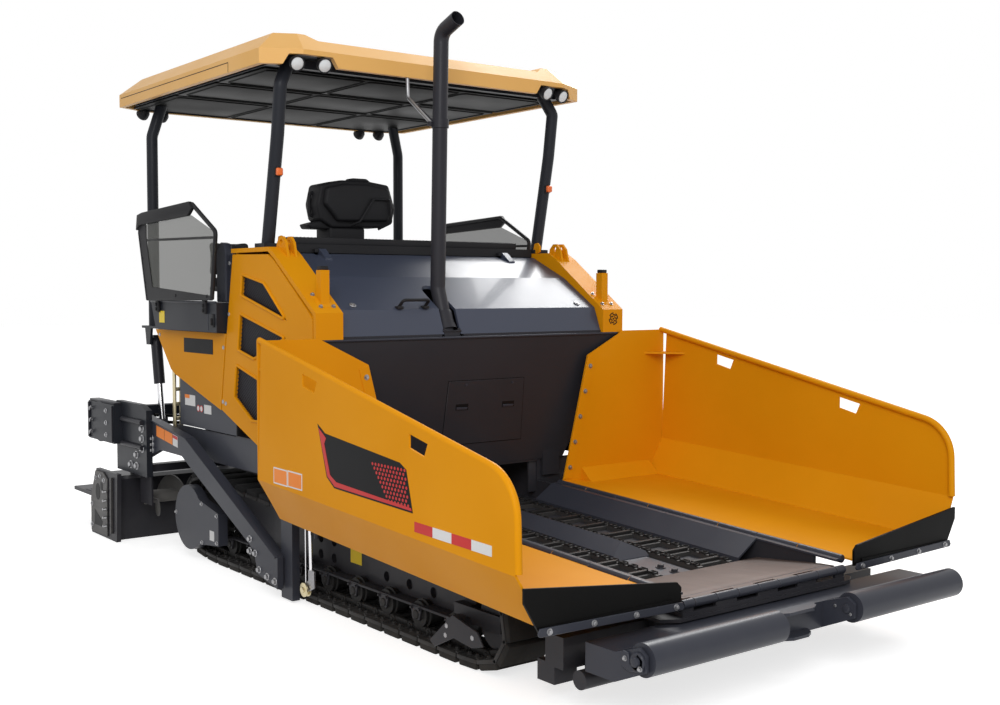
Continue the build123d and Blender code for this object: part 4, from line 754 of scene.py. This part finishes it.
print("pieces on each wing:", 8)

# %% [markdown]
# Two conveyors lie in the hopper's floor, which falls towards the front. Each has two roller chains with flight
# bars between them. The solid bars get their links: plates and pins that repeat along the slope. Two bolts hold the
# plate between the conveyors, and gussets stand behind the hopper's rear corners.

# %% Conveyors
SLOPE_FALL = (HINGE_START.z - HINGE_END.z) / (HINGE_END.x - HINGE_START.x)
LINK_STEP = 0.04
FLIGHT_STEP = 0.25


def on_slope(x, y, depth):
    """A point below the slope that the wings' hinges lie on."""
    return Vector((x, y, HINGE_START.z - (x - HINGE_START.x) * SLOPE_FALL - depth))


gusset, centre, chains = new_meshes(3)
box_at(gusset, (0.402, 0.56, 0.56), (0.42, 1.06, 0.8), 0.006)
box_at(gusset, (0.3, 0.7, 0.6), (0.402, 0.72, 0.8), 0.006)
for x in (2.302, 2.413):
    bolt(centre, on_slope(x, 0.0, 0.132), (0.05, 0, 1), 0.036, 0.016)
along = Vector((1, 0, -SLOPE_FALL)).normalized()
half_pin, half_plate, half_flight = Vector((0, 0.02, 0)), Vector((0.027, 0.002, 0.01)), Vector((0.014, 0.11, 0.011))
for y in (0.175, 0.43):
    for link in range(50):
        middle = on_slope(0.47 + LINK_STEP * link, y, 0.113)
        rod(chains, middle - half_pin, middle + half_pin, 0.0075, 8)
        if link % 2 == 0:
            for plate_y in (-0.015, 0.015):
                plate_at = middle + along * 0.02 + Vector((0, plate_y, 0))
                box_at(chains, plate_at - half_plate, plate_at + half_plate, 0.0035, 1)
for flight in range(9):
    middle = on_slope(0.622 + FLIGHT_STEP * flight, 0.3025, 0.114)
    box_at(chains, middle - half_flight, middle + half_flight)
pieces(("hopper_gussets", gusset, charcoal))
piece("centre_plate_bolts", centre, charcoal)
pieces(("conveyor_chains", chains, chain_steel))
print("links in each chain: 25")

# %% [markdown]
# The bulkhead behind the hopper leans back. A maintenance door is let into it, with two recessed latches, and a
# rolled lip closes its top. The thin black line round the door is painted shadow, for the shade in the door's gap.
# Shapes on it are drawn on its slope: across the machine, and up along the plate.

# %% Bulkhead door
foot, head = Vector((0.4625, 0, 0.93)), Vector((0.596, 0, 1.735))
up_plate = (head - foot).normalized()
out_plate = Vector((0, 1, 0)).cross(up_plate)
on_bulkhead = Matrix((Vector((0, 1, 0)), up_plate, out_plate)).transposed().to_4x4()
on_bulkhead.translation = foot + out_plate * 0.0004
painted_gap_shadow, door, latches, handles, lip = new_meshes(5)
# Painted shadow: a black sheet a little larger than the door, showing as the shade in its gap.
slab(painted_gap_shadow, [(-0.272, 0.04), (0.442, 0.04), (0.412, 0.505), (-0.262, 0.505)], 0.0008, on_bulkhead)
slab(door, [(-0.267, 0.045), (0.437, 0.045), (0.407, 0.5), (-0.257, 0.5)], 0.0035, on_bulkhead, 0.0015)
for y in (-0.125, 0.285):
    slab(latches, oblong((y - 0.055, 0.292), (y + 0.055, 0.336)), 0.0042, on_bulkhead, 0.001)
    slab(handles, [(y - 0.048, 0.296), (y + 0.04, 0.296), (y + 0.048, 0.31), (y - 0.048, 0.314)], 0.01,
         on_bulkhead, 0.002)
    bolt(handles, on_bulkhead @ Vector((y + 0.02, 0.47, 0.0035)), out_plate, 0.012, 0.004)
bent_tube(lip, [(0.597, -1.27, 1.727), (0.597, 1.27, 1.727)], 0.009)
pieces(("bulkhead_gap_shadow", painted_gap_shadow, label_black), ("bulkhead_door", door, charcoal),
       ("bulkhead_latches", latches, label_black), ("bulkhead_handles", handles, slate),
       ("bulkhead_lip", lip, slate), mirrored=False)
print("bulkhead leans back by", round(math.degrees(math.atan2(head.x - foot.x, head.z - foot.z)), 1), "degrees")

# %% [markdown]
# The hood closes the engine bay between the yellow cowls. It has a grab handle and two turn locks, and an air inlet
# strip with fins runs along its rear. The exhaust leaves through the slot in the hood, from a bolted flange on the
# bulkhead, and is stayed to the canopy.

# %% Hood and exhaust
EXHAUST_Y = -0.25
FIN_STEP = 0.03
handle, locks, fins, flange, stay = new_meshes(5)
bent_tube(handle, [(0.5, -0.64, 1.935), (0.56, -0.64, 1.985), (0.56, -0.43, 1.985), (0.5, -0.43, 1.935)],
          0.011, 0.022)
for y in (-0.64, -0.43):
    box_at(handle, (0.482, y - 0.022, 1.925), (0.53, y + 0.022, 1.945))
for y in (-0.98, 0.98):
    turned_piece(locks, [(0.0, 0.024), (0.004, 0.024), (0.007, 0.02), (0.007, 0.012), (0.012, 0.01),
                         (0.012, 0.0)], (0.47, y, 1.951), (0.54, 0, 0.84))
box_at(fins, (-0.4, -1.02, 2.372), (-0.27, 0.99, 2.392))
for index in range(66):
    y = -1.0 + FIN_STEP * index
    box_at(fins, (-0.392, y - 0.004, 2.39), (-0.278, y + 0.004, 2.424), 0.0015, 1)
box_at(fins, (-0.272, -1.02, 2.372), (-0.26, 0.99, 2.42), 0.003)
box_at(flange, (0.438, EXHAUST_Y - 0.078, 1.7655), (0.58, EXHAUST_Y + 0.078, 1.777))
turned_piece(flange, [(0.0, 0.074), (0.02, 0.07), (0.05, 0.062), (0.12, 0.06), (0.13, 0.056)],
             (0.508, EXHAUST_Y, 1.777), (-0.33, 0, 0.94))
for x in (0.452, 0.566):
    for y in (-0.062, 0.062):
        bolt(flange, (x, EXHAUST_Y + y, 1.777), (0, 0, 1), 0.02)
turned_piece(flange, [(-0.025, 0.053), (-0.025, 0.06), (0.025, 0.06), (0.025, 0.053)],
             (0.4345, EXHAUST_Y, 3.185), (0.013, 0, 1))
box_at(flange, (0.405, EXHAUST_Y - 0.09, 3.17), (0.435, EXHAUST_Y - 0.05, 3.2))
bent_tube(stay, [(0.42, -0.315, 3.19), (0.118, -0.3, 3.4), (0.11, -0.3, 3.538)], 0.0125)
pieces(("hood_handle", handle, moulded), ("hood_locks", locks, bolt_steel), mirrored=False, body="hood")
pieces(("air_inlet_fins", fins, moulded), ("exhaust_flange", flange, charcoal), ("exhaust_stay", stay, bolt_steel),
       mirrored=False)
print("fins: 66")

# %% [markdown]
# The corner cowls carry square posts with bolted feet, a lug beside each canopy post, and, on the left, the slots
# of a horn, drawn as thin black arcs that are painted shade in the slots.

# %% Cowls
HORN_Y, HORN_Z = 1.235, 1.835
posts, post_caps, feet, horn = new_meshes(4)
box_at(posts, (0.425, 1.16, 1.972), (0.561, 1.272, 1.984), 0.003, turn=Matrix.Rotation(math.radians(35.5), 4, "Y"))
box_at(post_caps, (0.466, 1.189, 2.179), (0.52, 1.243, 2.205), 0.006)
for x in (0.44, 0.546):
    for y in (1.17, 1.262):
        bolt(feet, (x, y, 1.984 - (x - 0.493) * 0.713), (0.58, 0, 0.81), 0.018)
slab(posts, [(-0.235, 2.34), (-0.19, 2.34), (-0.15, 2.352), (-0.145, 2.395), (-0.175, 2.425), (-0.215, 2.42)],
     0.016, on_side(1.14), 0.003)
# Painted shade: the horn's slots are thin black arcs on the cowl.
for ring, shift in ((0.019, 0), (0.031, 45), (0.043, 0)):
    for start in (shift, 90 + shift, 180 + shift, 270 + shift):
        turns = [math.radians(start + 12 * step) for step in range(6)]
        slab(horn, [(HORN_Y + reach * math.cos(turn), HORN_Z + reach * math.sin(turn))
                    for reach, arc in ((ring - 0.004, turns), (ring + 0.004, turns[::-1])) for turn in arc],
             0.0015, across_at(0.6004))
disc(horn, Matrix.Translation((0.6015, HORN_Y, HORN_Z)) @ turned_to((1, 0, 0)), 0.007, 0.003, 16, 0.006)
pieces(("cowl_posts", posts, golden), ("cowl_post_caps", post_caps, moulded), ("cowl_post_bolts", feet, bolt_steel))
piece("horn_slots", horn, label_black)
print("horn arcs: 12")

# %% [markdown]
# Each side door has three openings with a frame pressed round them and a black mesh of slanting wires. A wire runs
# from where its line enters an opening to where it leaves it. Behind the wires a black sheet closes each opening:
# it is painted shade, for the dark bay seen through the openings.

# %% Grilles
DOOR_FACE = 1.33                       # y
WIRE_STEP, WIRE_RISE = 0.025, 0.75
SCREW = [(0.0, 0.015), (0.004, 0.014), (0.006, 0.01), (0.006, 0.0)]
GRILLES = (
    [(-0.416, 2.159), (-0.092, 2.099), (0.224, 1.85), (-0.434, 2.014)],
    [(-0.453, 1.888), (0.209, 1.738), (-0.248, 1.579), (-0.489, 1.631)],
    [(-0.515, 1.525), (0.19, 1.35), (0.19, 1.17), (-0.286, 1.149), (-0.552, 1.296)],
)


def crossings(outline, offset, rise):
    """Where the line z = offset + rise * x enters and leaves an outline."""
    hits = []
    for (x1, z1), (x2, z2) in zip(outline, outline[1:] + outline[:1]):
        side_1, side_2 = z1 - offset - rise * x1, z2 - offset - rise * x2
        if side_1 * side_2 < 0:
            share = side_1 / (side_1 - side_2)
            hits.append((x1 + (x2 - x1) * share, z1 + (z2 - z1) * share))
    return hits


for side, name in SIDES:
    painted_shade_sheets, wires, frames, screws = new_meshes(4)
    for outline in GRILLES:
        # Painted shade: a black sheet behind the wires, for the dark bay seen through the opening.
        slab(painted_shade_sheets, outline, 0.0015, on_side(side * (DOOR_FACE - 0.0238), side))
        for line in range(80):
            ends = crossings(outline, 1.0 + WIRE_STEP * line, WIRE_RISE)
            if len(ends) == 2:
                rod(wires, *((x, side * (DOOR_FACE - 0.02), z) for x, z in ends), 0.0045, 6, 0.0005)
        route = [(x, side * (DOOR_FACE + 0.001), z) for x, z in outline]
        half_way = tuple((first + last) / 2 for first, last in zip(route[-1], route[0]))
        bent_tube(frames, [half_way, *route, half_way], 0.01, 0.012, 10, 4)
    for x, z in ((-0.63, 1.88), (-0.69, 1.24), (-0.61, 2.24), (0.51, 1.15)):
        turned_piece(screws, SCREW, (x, side * DOOR_FACE, z), (0, side, 0))
    pieces((f"grille_painted_shade_{name}", painted_shade_sheets, label_black), (f"grille_wires_{name}", wires, slate, "moulded_black"),
           (f"grille_frames_{name}", frames, golden), (f"grille_screws_{name}", screws, bolt_steel),
           mirrored=False, body=f"grille_door_{name}")
print("openings in each door:", len(GRILLES))

# %% [markdown]
# The rear of the sides: blank plates on the yellow panel, the dark tank wall and the track cover, the side box with
# its latch, and the slotted columns that guide the tow arm.

# %% Sides
white, orange, black, yellow, red, screws, column, latch, box_trim, cover_bolts = new_meshes(10)
for mesh, low, high, y, thick in (
        (black, (-1.4, 1.582), (-0.895, 1.69), 1.3303, 0.002),
        (white, (-1.484, 1.17), (-1.3, 1.252), 1.2903, 0.0012),
        (orange, (-1.484, 1.225), (-1.4, 1.252), 1.2915, 0.0012),
        (white, (-1.143, 1.13), (-1.02, 1.196), 1.2903, 0.0012),
        (white, (-0.985, 0.205), (-0.91, 0.278), 1.3303, 0.0012),
        (yellow, (-1.7, 1.8), (-1.6, 1.89), 1.4003, 0.0012)):
    slab(mesh, oblong(low, high), thick, on_side(y))
for x in (-1.245, -1.19):
    for mesh, radius, lift in ((red, 0.026, 0.0), (white, 0.019, 0.0012)):
        disc(mesh, Matrix.Translation((x, 1.2908 + lift, 1.16)) @ turned_to(LEFTWARDS), radius, 0.001, 20)
for x, z in ((-0.735, 1.25), (-1.86, 1.7), (-0.72, 1.64)):
    turned_piece(screws, SCREW, (x, 1.33, z), LEFTWARDS)
for y in (1.235, 1.289):
    box_at(column, (-1.712, y - 0.007, 0.8), (-1.665, y + 0.007, 1.44), 0.003)
for z in (0.815, 0.93, 1.045, 1.16, 1.275, 1.425):
    box_at(column, (-1.708, 1.238, z - 0.014), (-1.669, 1.286, z + 0.014))
box_at(latch, (-0.76, 1.3985, 1.785), (-0.715, 1.408, 1.88))
box_at(latch, (-0.75, 1.404, 1.8), (-0.728, 1.422, 1.85))
box_at(box_trim, (-1.858, 1.395, 1.956), (-0.684, 1.409, 1.972))
box_at(box_trim, (-0.83, 1.3985, 1.76), (-0.822, 1.4025, 1.955), 0.001, 1)
side_bolts(cover_bolts, 1.3302, ((-1.12, 0.455), (-1.12, 0.165), (-0.865, 0.4), (-0.865, 0.2),
                                 (-1.585, 0.33)), 0.02)
pieces(("side_plates_black", black, label_black), ("side_labels_white", white, label_white),
       ("side_labels_orange", orange, label_orange), ("side_labels_yellow", yellow, label_yellow),
       ("side_labels_red", red, label_red), ("side_screws", screws, bolt_steel), ("arm_columns", column, zinc),
       ("side_box_latch", latch, moulded), ("side_box_trim", box_trim, slate),
       ("sprocket_cover_bolts", cover_bolts, bolt_steel))
print("columns: 2")

# %% [markdown]
# A tow arm on each side pulls the screed. Bolts hold it to the screed at the rear and to its tow point in front,
# flanges stiffen its upper edge, and blank plates sit on its flank.

# %% Tow arms
ARM_FACE = 1.4002                       # y
ARM_FALL = -0.125
arm_bolts, arm_orange, arm_white, arm_red, ribs = new_meshes(5)
side_bolts(arm_bolts, ARM_FACE, [(x, z) for x in (-2.02, -1.885) for z in (0.785, 0.83, 0.877)], 0.036, 0.018)
side_bolts(arm_bolts, ARM_FACE, ((-0.065, 0.165), (0.052, 0.14), (0.16, 0.128), (-0.196, 0.354),
                                 (-0.198, 0.272), (-0.119, 0.268)), 0.03, 0.016)
for mesh, start, end in ((arm_orange, -1.786, -1.635), (arm_orange, -1.628, -1.48), (arm_white, -1.472, -1.382)):
    slab(mesh, [(x, z + (x + 1.786) * ARM_FALL) for x, z in oblong((start, 0.905), (end, 0.99))], 0.0012,
         on_side(1.4003))
slab(arm_red, [(-1.47, 0.923), (-1.384, 0.912), (-1.384, 0.936), (-1.47, 0.947)], 0.0008, on_side(1.4016))
slab(ribs, [(-2.04, 1.047), (-1.372, 0.966), (-1.224, 0.944), (-1.224, 0.934), (-1.372, 0.956), (-2.04, 1.037)],
     0.085, on_side(1.33), 0.002)
slab(ribs, [(-1.224, 0.944), (0.185, 0.298), (0.185, 0.286), (-1.224, 0.934)], 0.085, on_side(1.33), 0.002)
pieces(("tow_arm_bolts", arm_bolts, bolt_steel), ("tow_arm_labels", arm_orange, label_orange),
       ("tow_arm_labels_white", arm_white, label_white), ("tow_arm_labels_red", arm_red, label_red),
       ("tow_arm_flanges", ribs, slate), body="screed")
print("bolts on each arm: 12")

# %% [markdown]
# The canopy has four work lamps at the front and four at the rear, each a domed glass in a turned housing, and a
# moulded liner in three framed panels. Square amber markers sit on the front posts. Along each long edge of the
# roof a thin black strip is painted shadow: it stands for the shade in the gap between the roof's edge and its trim.

# %% Canopy
HOUSING = [(-0.062, 0.0), (-0.062, 0.022), (-0.045, 0.034), (-0.02, 0.047), (0.012, 0.052), (0.022, 0.052),
           (0.022, 0.046), (0.01, 0.044), (0.01, 0.0)]
LENS = [(0.011, 0.0435), (0.017, 0.043), (0.023, 0.03), (0.026, 0.0)]
LINER_Z = 3.5415
housings, glasses, liner, painted_shadow_lines, markers, marker_feet = new_meshes(6)
for x, y, z, way in ((0.08, 1.165, 3.553, 1), (0.118, 0.978, 3.553, 1), (-2.54, 1.165, 3.52, -1),
                     (-2.585, 0.978, 3.52, -1)):
    aim = Vector((way, 0.1, -0.45)).normalized()
    turned_piece(housings, HOUSING, (x, y, z), aim)
    turned_piece(glasses, LENS, (x, y, z), aim)
    foot_x = x - way * 0.05
    box_at(housings, (foot_x - 0.012, y - 0.02, z), (foot_x + 0.012, y + 0.02, 3.625), 0.003)
for start, end in ((-2.52, -1.64), (-1.6, -0.92), (-0.88, -0.17)):
    box_at(liner, (start, -1.27, 3.5435), (end, 1.27, 3.5535), 0.003)
    for low, high in ((-1.22, -0.44), (-0.4, 0.4), (0.44, 1.22)):
        frame_edge = [(start + 0.04, (low + high) / 2), *oblong((start + 0.04, low), (end - 0.04, high))]
        bent_tube(liner, [(x, y, LINER_Z) for x, y in frame_edge + frame_edge[:1]], 0.006, 0.03, 8, 3)
box_at(marker_feet, (-0.135, 1.172, 2.82), (-0.118, 1.228, 2.88))
box_at(markers, (-0.119, 1.176, 2.824), (-0.09, 1.224, 2.876), 0.01, 3)
# Painted shadow: a thin black strip along the roof's long edge, for the shade in the gap over the trim.
slab(painted_shadow_lines, [(-2.42, 3.606), (-0.46, 3.606), (-0.46, 3.543), (-0.455, 3.543), (-0.455, 3.611), (-2.42, 3.611)],
     0.001, on_side(1.4002))
pieces(("work_lamps", housings, moulded), ("work_lamp_glass", glasses, lamp_glass))
piece("canopy_liner", liner, flap_rubber, slot="moulded_black")
pieces(("canopy_painted_shadow_lines", painted_shadow_lines, label_black), ("side_markers", markers, amber),
       ("side_marker_feet", marker_feet, moulded))
print("lamps: 8")

# %% [markdown]
# The operator's console is a moulded case on a swivel, with a hinged lid over its panel, grips at both sides and a
# ribbed boot at its foot. The case is drawn from the side and rounded well at its edges.

# %% Console
console = bmesh.new()
CASE = [(-0.43, 2.86), (-0.25, 2.9), (-0.02, 2.905), (0.19, 2.88), (0.25, 2.7), (0.225, 2.59),
        (0.12, 2.54), (-0.33, 2.53), (-0.44, 2.59), (-0.465, 2.71)]
FRONT = [(-0.4, 2.835), (-0.24, 2.87), (-0.03, 2.875), (0.16, 2.85), (0.205, 2.7), (0.15, 2.59),
         (-0.3, 2.58), (-0.42, 2.71)]
LID = [(-0.15, 2.895), (-0.12, 2.925), (0.01, 2.925), (0.05, 2.9)]
TRAY = [(-0.52, 2.555), (-0.34, 2.6), (-0.3, 2.56), (-0.33, 2.52), (-0.5, 2.52)]
BOOT = [(0.1 + 0.02 * step, 0.085 if step % 2 else 0.105) for step in range(1, 12)]
for outline, thick, x, bevel, segments in ((CASE, 0.2, -1.075, 0.022, 4), (FRONT, 0.07, -0.895, 0.022, 4),
                                           (LID, 0.1, -1.02, 0.01, 3), (TRAY, 0.16, -1.07, 0.012, 3)):
    slab(console, outline, thick, across_at(x), bevel, segments)
box_at(console, (-1.12, -0.34, 2.42), (-0.9, -0.02, 2.54), 0.02, 3)
box_at(console, (-1.09, -0.2, 2.33), (-0.93, 0.06, 2.44), 0.015, 3)
turned_piece(console, [(0.0, 0.105), (0.1, 0.105), *BOOT, (0.36, 0.09), (0.56, 0.09), (0.57, 0.12), (0.6, 0.12)],
             (-1.005, -0.1, 1.765), (0, 0, 1))
bent_tube(console, [(-0.9, -0.18, 2.545), (-0.815, -0.12, 2.58), (-0.805, 0.0, 2.76),
                    (-0.805, 0.15, 2.76), (-0.815, 0.17, 2.58), (-0.9, 0.1, 2.53)], 0.009, 0.025)
for y, lean in ((-0.47, 0.06), (0.255, -0.06)):
    bent_tube(console, [(-0.99, y + lean, 2.62), (-0.99, y, 2.62), (-0.99, y, 2.8), (-0.99, y + lean, 2.8)],
              0.013, 0.03)
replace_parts(piece("console_case", console, moulded), "console")
print("folds of the boot:", len(BOOT))

# %% [markdown]
# The two seats are padded. Each cushion starts as a rounded block and is blown up a little with a cloth simulation,
# so that its sides pull in between the corners. Its seam is pressed in afterwards, because the even sheet that the
# simulation needs would lose it.

# %% Seats
PRESSURE = 4
SWELL_CAP = 0.014
SEAM_AT, SEAM_HALF_WIDE, SEAM_DEEP = 0.55, 0.06, 0.006
seat_frames = bmesh.new()
box_at(seat_frames, (-1.5, 0.76, 1.761), (-1.25, 0.91, 1.79), 0.006)
turned_piece(seat_frames, [(0.0, 0.07), (0.03, 0.06), (0.24, 0.06), (0.26, 0.09), (0.28, 0.09)],
             (-1.375, 0.835, 1.79), (0, 0, 1))
box_at(seat_frames, (-1.62, 0.655, 2.04), (-1.17, 1.015, 2.075), 0.01)
for y in (0.72, 0.95):
    bent_tube(seat_frames, [(-1.58, y, 2.06), (-1.66, y, 2.09), (-1.69, y, 2.4)], 0.014, 0.03)
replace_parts(piece("seat_frames", seat_frames, moulded, mirrored=True), "seats")


def cushion(name, low, high, face):
    """A crowned pad: a rounded block whose sheet is blown up by pressure. Its face looks along an axis."""
    mesh = bmesh.new()
    box_at(mesh, low, high, 0.03, 5)
    made = piece(name, mesh, seat_cloth, smooth=60)
    shell = made.modifiers.new("shell", "REMESH")
    shell.mode = "VOXEL"
    shell.voxel_size = 0.006
    with bpy.context.temp_override(object=made, active_object=made):
        bpy.ops.object.modifier_apply(modifier=shell.name)
    rest = [vert.co.copy() for vert in made.data.vertices]
    cloth = made.modifiers.new("cloth", "CLOTH")
    cloth.settings.use_pressure = True
    cloth.settings.uniform_pressure_force = PRESSURE
    cloth.settings.effector_weights.gravity = 0
    for number in range(1, 21):
        scene.frame_set(number)
    swollen = made.evaluated_get(bpy.context.evaluated_depsgraph_get()).data
    moved = [vert.co.copy() for vert in swollen.vertices]
    made.modifiers.remove(cloth)
    scene.frame_set(1)
    for vert, start, end in zip(made.data.vertices, rest, moved):
        run = end - start
        vert.co = start + run * min(1.0, SWELL_CAP / max(run.length, 1e-9))
    middle = (Vector(low) + Vector(high)) / 2
    half_wide = (high[1] - low[1]) / 2
    for vert in made.data.vertices:
        if vert.co[face] > middle[face]:
            away = abs(vert.co.y - middle.y) / half_wide
            share = min(1.0, abs(away - SEAM_AT) / SEAM_HALF_WIDE)
            vert.co[face] -= SEAM_DEEP * (0.5 + 0.5 * math.cos(share * math.pi))
    made.data.shade_smooth()


for side, name in SIDES:
    near, far = sorted((side * 0.665, side * 1.005))
    cushion(f"seat_pad_{name}", (-1.59, near, 2.076), (-1.16, far, 2.15), 2)
    cushion(f"seat_back_{name}", (-1.672, near, 2.165), (-1.6, far, 2.43), 0)
print("seats: 2")

# %% [markdown]
# A tinted panel with a black tube frame shields the operator on each side. Below it the panel goes over into a
# black skirt, and the tube stands on two brackets. These pieces take the place of the plain solid.

# %% Wind guards
GUARD_Y = 1.428
GUARD_EDGE = [(-1.85, 1.975), (-2.0, 2.516), (-1.89, 2.633), (-1.01, 2.674), (-0.62, 2.46), (-0.694, 1.985)]
frames, skirts, panes, clips = new_meshes(4)
bent_tube(frames, [(x, GUARD_Y, z) for x, z in GUARD_EDGE], 0.016, 0.045)
rod(frames, (-1.85, GUARD_Y, 1.982), (-0.694, GUARD_Y, 1.988), 0.012)
rod(frames, (-1.96, GUARD_Y, 2.44), (-0.625, GUARD_Y, 2.42), 0.01)
slab(frames, [(-2.008, 2.52), (-1.985, 2.64), (-1.89, 2.655), (-1.01, 2.692), (-0.96, 2.64), (-1.03, 2.59),
              (-1.94, 2.56)], 0.03, on_side(GUARD_Y + 0.002), 0.006, 2)
slab(skirts, [(-1.85, 1.968), (-0.694, 1.976), (-0.686, 2.01), (-1.74, 2.075), (-1.85, 2.45), (-1.85, 2.56),
              (-1.93, 2.585), (-1.995, 2.52)], 0.007, on_side(GUARD_Y + 0.004), 0.001)
slab(panes, [(-1.742, 2.074), (-0.686, 2.009), (-0.612, 2.382), (-0.645, 2.462), (-1.01, 2.592), (-1.85, 2.562),
             (-1.85, 2.45)], 0.005, on_side(GUARD_Y + 0.002))
for x in (-1.7, -0.85):
    box_at(clips, (x - 0.03, 1.401, 1.88), (x + 0.03, 1.422, 2.0), 0.005)
    side_bolts(clips, 1.4215, ((x, 1.905), (x, 1.94)), 0.022)
side_bolts(clips, GUARD_Y + 0.0035, ((-1.88, 2.11), (-1.93, 2.3), (-1.3, 2.01), (-0.76, 2.005)), 0.018)
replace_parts(piece("guard_panes", panes, smoked, mirrored=True), "wind_guards")
pieces(("guard_frames", frames, moulded), ("guard_skirts", skirts, moulded), ("guard_brackets", clips, moulded))
print("guards: 2")

# %% [markdown]
# Between the guard and the yellow side door, a slate panel closes the platform's end towards the engine bay. Its
# top edge is folded inwards.

# %% Bay end panels
ends = bmesh.new()
slab(ends, [(-0.824, 1.965), (-0.824, 2.318), (-0.76, 2.392), (-0.7, 2.38), (-0.672, 2.3), (-0.672, 1.965)],
     0.06, on_side(1.27), 0.006)
box_at(ends, (-0.672, 0.99, 1.79), (-0.66, 1.3, 2.29))
pieces(("bay_end_panels", ends, slate))
print("end panels: 2")

# %% [markdown]
# The screed. Its end plates have an oval and a three-cornered hole with a row of pins beside them, and a bracket
# above. The holes are black sheets on the plate: painted shade, for the dark seen through them. The cross beam's
# ends carry boxes with locking pins, and hose sleeves run between them.

# %% Screed
END_FACE = 1.556                       # y
BOX_FACE = 1.52
HOLE_DEEP = 0.0015
cheeks, painted_hole_shade, pins, caps, sleeves = new_meshes(5)
slab(cheeks, [(-2.81, 0.02), (-2.81, 0.3), (-2.7, 0.54), (-2.52, 0.545), (-2.43, 0.5), (-2.44, 0.02)],
     0.012, on_side(END_FACE), 0.003)
slab(cheeks, [(-2.36, 0.06), (-2.35, 0.52), (-2.325, 0.52), (-2.335, 0.06)], 0.02, on_side(END_FACE), 0.003)
turns = [math.tau * step / 20 for step in range(20)]
# Painted shade: each hole is a thin black sheet on the end plate.
for hole in ([(-2.64 + 0.05 * math.cos(turn), 0.37 + 0.07 * math.sin(turn)) for turn in turns],
             [(-2.72, 0.215), (-2.545, 0.13), (-2.56, 0.085), (-2.725, 0.085)],
             [(-2.575, 0.46), (-2.53, 0.45), (-2.53, 0.385), (-2.575, 0.4)]):
    slab(painted_hole_shade, hole, HOLE_DEEP, on_side(END_FACE + 0.0121))
for z in (0.105, 0.175, 0.245, 0.315, 0.39):
    rod(pins, (-2.47, END_FACE + 0.01, z), (-2.47, END_FACE + 0.038, z), 0.011)
    rod(pins, (-2.48, END_FACE + 0.03, z - 0.004), (-2.395, END_FACE + 0.03, z + 0.012), 0.006)
side_bolts(pins, END_FACE + 0.012, ((-2.78, 0.075), (-2.78, 0.25), (-2.69, 0.48), (-2.59, 0.505),
                                    (-2.5, 0.48)))
side_bolts(pins, 1.45, ((-2.2, 0.64), (-2.08, 0.64), (-2.08, 0.73), (-1.96, 0.79), (-1.96, 0.87),
                         (-1.96, 0.95)), 0.04, 0.018)
for z in (0.8, 1.0):
    rod(caps, (-2.35, 1.462, z), (-1.93, 1.462, z), 0.02)
for z in (0.85, 0.95, 1.05):
    rod(pins, (-2.88, 1.519, z), (-2.88, 1.548, z), 0.014)
    rod(pins, (-2.9, 1.54, z - 0.02), (-2.85, 1.54, z + 0.022), 0.005)
    side_bolts(pins, BOX_FACE, ((-2.56, z),), 0.026)
for low, high in (((-2.95, 0.8), (-2.925, 1.1)), ((-2.43, 0.8), (-2.395, 1.1))):
    slab(caps, oblong(low, high), 0.014, on_side(BOX_FACE), 0.003)
box_at(caps, (-2.952, 1.425, 1.108), (-2.388, 1.515, 1.128), 0.008, 3)
for z, x in ((1.01, -2.36), (0.955, -2.345)):
    bent_tube(sleeves, [(x, -1.18, z), (x - 0.03, -0.6, z - 0.06), (x - 0.03, 0.6, z - 0.06),
                        (x, 1.18, z)], 0.014, 0.1)
pieces(("screed_cheeks", cheeks, worn_steel), ("screed_painted_hole_shade", painted_hole_shade, label_black), ("screed_pins", pins, bolt_steel),
       ("screed_caps", caps, charcoal), body="screed")
piece("screed_hoses", sleeves, flap_rubber, "screed")
print("pins on each end plate: 5")

# %% [markdown]
# People stand on the walkway behind the screed, so its boards have punched treads: small cones with flat tops, in
# rows that fill the walkway's depth.

# %% Walkway treads
TREAD_COLUMNS, TREAD_STEP = 74, 0.04
WALKWAY_DEEP = 0.225
treads = bmesh.new()
tread_rows = 8
for row in range(tread_rows):
    x = -3.0 - (WALKWAY_DEEP / tread_rows) * (row + 0.5)
    for column in range(TREAD_COLUMNS):
        disc(treads, Matrix.Translation((x, -1.46 + TREAD_STEP * column, 0.302)), 0.009, 0.004, 8, 0.005)
piece("walkway_treads", treads, charcoal, "screed")
print("treads:", tread_rows * TREAD_COLUMNS)
